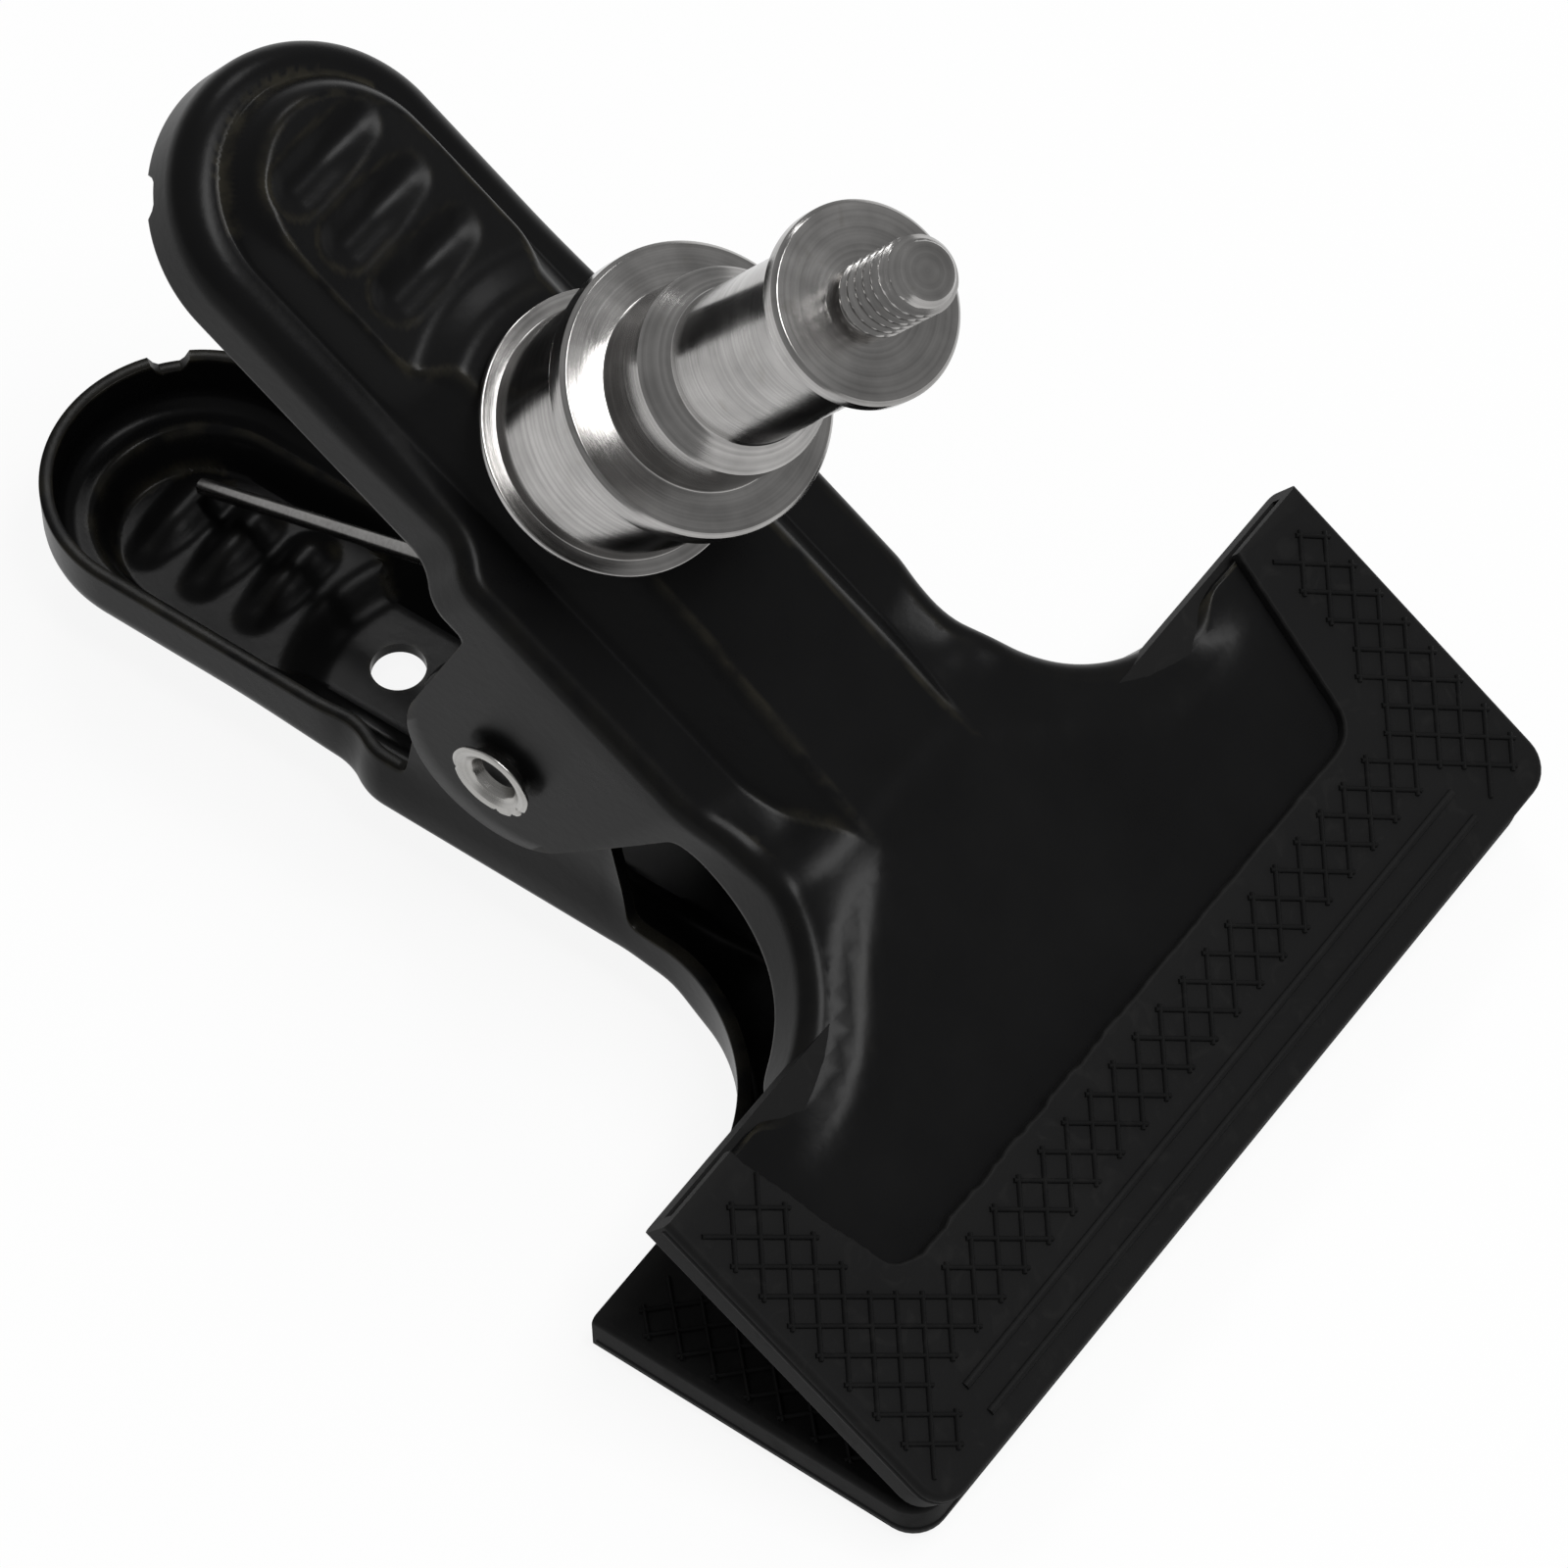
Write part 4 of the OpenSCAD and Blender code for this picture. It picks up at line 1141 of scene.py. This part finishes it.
def moulded(name):
    f = Finish(name, 0.0)
    wear_and_highlight = f.add("ShaderNodeAttribute", attribute_name="wear_and_highlight").outputs["Fac"]
    cloud = f.noise(14.0, 4.0)
    grain = f.noise(0.22, 3.0)
    scuff = f.between(f.noise(3.1, 5.0, stretch=1.5), 0.56, 0.72)
    base = f.colour(cloud, (0.0048, 0.0048, 0.0050), (0.0080, 0.0080, 0.0080))
    pale = f.sum(f.sum(scuff, 0.35, "MULTIPLY"), f.sum(wear_and_highlight, 0.25, "MULTIPLY"))
    f.set(Base_Color=f.colour(pale, base, (0.016, 0.0157, 0.0152)))
    f.set(Roughness=f.between(f.sum(cloud, scuff, "SUBTRACT"), -0.6, 0.8, 0.68, 0.54),
          Specular_IOR_Level=0.08)
    under = f.bump(f.noise(1.3, 2.0), 0.12, 0.06)
    f.set(Normal=f.bump(grain, 0.35, 0.03, under))
    return f.made


def plated(name, at, turn, dark, pale, low, high, marks=0.10):
    """Bright plating over turned metal: rings from the tool, faint clouds and small stains."""
    f = Finish(name, 1.0)
    run = f.lathe(at, turn)
    rings = f.noise(marks, 2.0, run)
    wide = f.noise(0.35, 3.0, run)
    cloud = f.noise(4.0, 4.0)
    stain = f.between(f.noise(2.2, 6.0, stretch=0.8), 0.62, 0.80)
    tone = f.colour(f.between(f.sum(wide, cloud), 0.6, 1.4), dark, pale)
    warm = tuple(v * w for v, w in zip(dark, (0.80, 0.74, 0.60)))
    f.set(Base_Color=f.colour(f.sum(stain, 0.3, "MULTIPLY"), tone, warm))
    f.set(Roughness=f.between(f.sum(rings, cloud), 0.6, 1.4, low, high))
    under = f.bump(rings, 0.5, 0.012)
    f.set(Normal=f.bump(f.noise(0.5, 3.0), 0.03, 0.02, under))
    return f.made


paint = painted("satin black paint")
rubber = moulded("black rubber")
spigot_foot = tuple(placed((SPIGOT_X, 0, 0), UPPER))
nickel = plated("bright nickel", spigot_foot, (0, closed, 0),
                (0.24, 0.235, 0.23), (0.48, 0.47, 0.46), 0.11, 0.23)
zinc = plated("bright zinc", spigot_foot, (0, closed, 0),
              (0.50, 0.50, 0.48), (0.68, 0.68, 0.66), 0.24, 0.42)
rivet_zinc = plated("rolled zinc", tuple(hinge_at * MM), (PI / 2, 0, 0),
                    (0.30, 0.295, 0.285), (0.52, 0.51, 0.49), 0.20, 0.40)
wire = plated("drawn spring wire", tuple(hinge_at * MM), (PI / 2, 0, 0),
              (0.42, 0.41, 0.40), (0.62, 0.61, 0.60), 0.20, 0.30, 2.5)
rib_group = rib_tree("moulded ribs")


def dress(obj, finish, body, slot, *nodes):
    obj.data.materials.clear()
    obj.data.materials.append(finish)
    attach(obj, body)
    if nodes:
        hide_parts(*nodes)


for body, cheek, pinch, lean, hole, turn in (
        ("upper", UPPER_CHEEK, UPPER_PINCH, 0.0, (SPIGOT_X, SCREW_HOLE_R), UPPER),
        ("lower", LOWER_CHEEK, 0.0, LOWER_LEAN, (HANG_X, HANG_R), LOWER)):
    jaw = jaw_mesh(body + "_jaw_pressed", cheek, pinch, lean, hole, turn)
    # The low threshold takes in the sheet's bends, whose pale line is a painted highlight.
    mark_bent_edges(jaw, 0.3, 1.1)
    dress(jaw, paint, body, "black_paint", body + "_jaw")
    cover = cover_mesh(body + "_cover_moulded", turn)
    mark_bent_edges(cover, 0.5, 2.0)
    dress(cover, rubber, body, "black_rubber", body + "_cover")
    for ribs in cover_ribs(body + "_cover", turn, rubber):
        dress(ribs, rubber, body, "black_rubber")
dress(spigot_base(), nickel, "upper", "nickel", "spigot_base")
dress(spigot_stud(), nickel, "upper", "nickel", "spigot_stud")
dress(rivet(), rivet_zinc, "lower", "zinc", "pivot_rivet")
coil = spring()
coil.data.materials.append(wire)
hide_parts("torsion_spring")
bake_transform(coil)
for node in ("fixing_screw", "lock_washer"):
    obj = frame["nodes"][node]
    obj.data.materials.clear()
    obj.data.materials.append(zinc)

# ---- camera, floor and light ----

CAMERA_AT = (273.172, -341.0, 643.75)
CAMERA_RIGHT = (0.8106, 0.5855, -0.0172)
CAMERA_FORWARD = (-0.3423, 0.4495, -0.8251)
LENS, SENSOR = 213.75, 36
FLOOR_HALF = 3.0
FLOOR_Z = -0.0004
FLOOR_GLOW = 0.9
WORLD_GLOW = 0.34

scene = bpy.context.scene
camera_data = bpy.data.cameras.new("camera")
camera_data.lens = LENS
camera_data.sensor_width = SENSOR
camera_data.clip_start = 0.05
camera_data.clip_end = 20
camera = added("camera", camera_data)
right = Vector(CAMERA_RIGHT).normalized()
forward = Vector(CAMERA_FORWARD).normalized()
up = right.cross(forward).normalized()
right = forward.cross(up).normalized()
turn = Matrix((right, up, -forward)).transposed().to_4x4()
camera.matrix_world = Matrix.Translation(Vector(CAMERA_AT) * MM) @ turn
scene.camera = camera


def backdrop():
    """A grey floor that glows for the rays of the view, of mirrors and of glass."""
    mesh = bpy.data.meshes.new("floor")
    mesh.from_pydata([(x * FLOOR_HALF, y * FLOOR_HALF, FLOOR_Z)
                      for x, y in ((-1, -1), (1, -1), (1, 1), (-1, 1))], [], [(0, 1, 2, 3)])
    floor = added("floor", mesh)
    made = bpy.data.materials.new("pale floor")
    made.use_nodes = True
    nodes, links = made.node_tree.nodes, made.node_tree.links
    nodes.clear()
    out = nodes.new("ShaderNodeOutputMaterial")
    diffuse = nodes.new("ShaderNodeBsdfDiffuse")
    diffuse.inputs["Color"].default_value = (0.8, 0.8, 0.8, 1)
    white = nodes.new("ShaderNodeEmission")
    ray = nodes.new("ShaderNodeLightPath")
    seen = ray.outputs["Is Camera Ray"]
    for kind in ("Is Glossy Ray", "Is Transmission Ray"):
        either = nodes.new("ShaderNodeMath")
        either.operation = "MAXIMUM"
        links.new(seen, either.inputs[0])
        links.new(ray.outputs[kind], either.inputs[1])
        seen = either.outputs[0]
    share = nodes.new("ShaderNodeMath")
    share.operation = "MULTIPLY"
    share.inputs[1].default_value = FLOOR_GLOW
    mixed = nodes.new("ShaderNodeMixShader")
    links.new(seen, share.inputs[0])
    for socket, source in zip(mixed.inputs, (share, diffuse, white)):
        links.new(source.outputs[0], socket)
    links.new(mixed.outputs[0], out.inputs[0])
    mesh.materials.append(made)


backdrop()
world = bpy.data.worlds.new("studio")
scene.world = world
world.use_nodes = True
background = world.node_tree.nodes["Background"]
background.inputs["Color"].default_value = (1, 1, 1, 1)
background.inputs["Strength"].default_value = WORLD_GLOW


def lamp(name, at, size, power):
    data = bpy.data.lights.new(name, "AREA")
    data.shape = "RECTANGLE"
    data.size, data.size_y = size
    data.energy = power
    obj = added(name, data)
    obj.location = at
    obj.rotation_euler = (-Vector(at)).to_track_quat("-Z", "Y").to_euler()


lamp("overhead", (0.49, 0.08, 1.26), (0.72, 0.38), 14)
lamp("back", (-0.62, 0.73, 1.15), (0.42, 0.34), 4)

scene.view_settings.view_transform = "Standard"
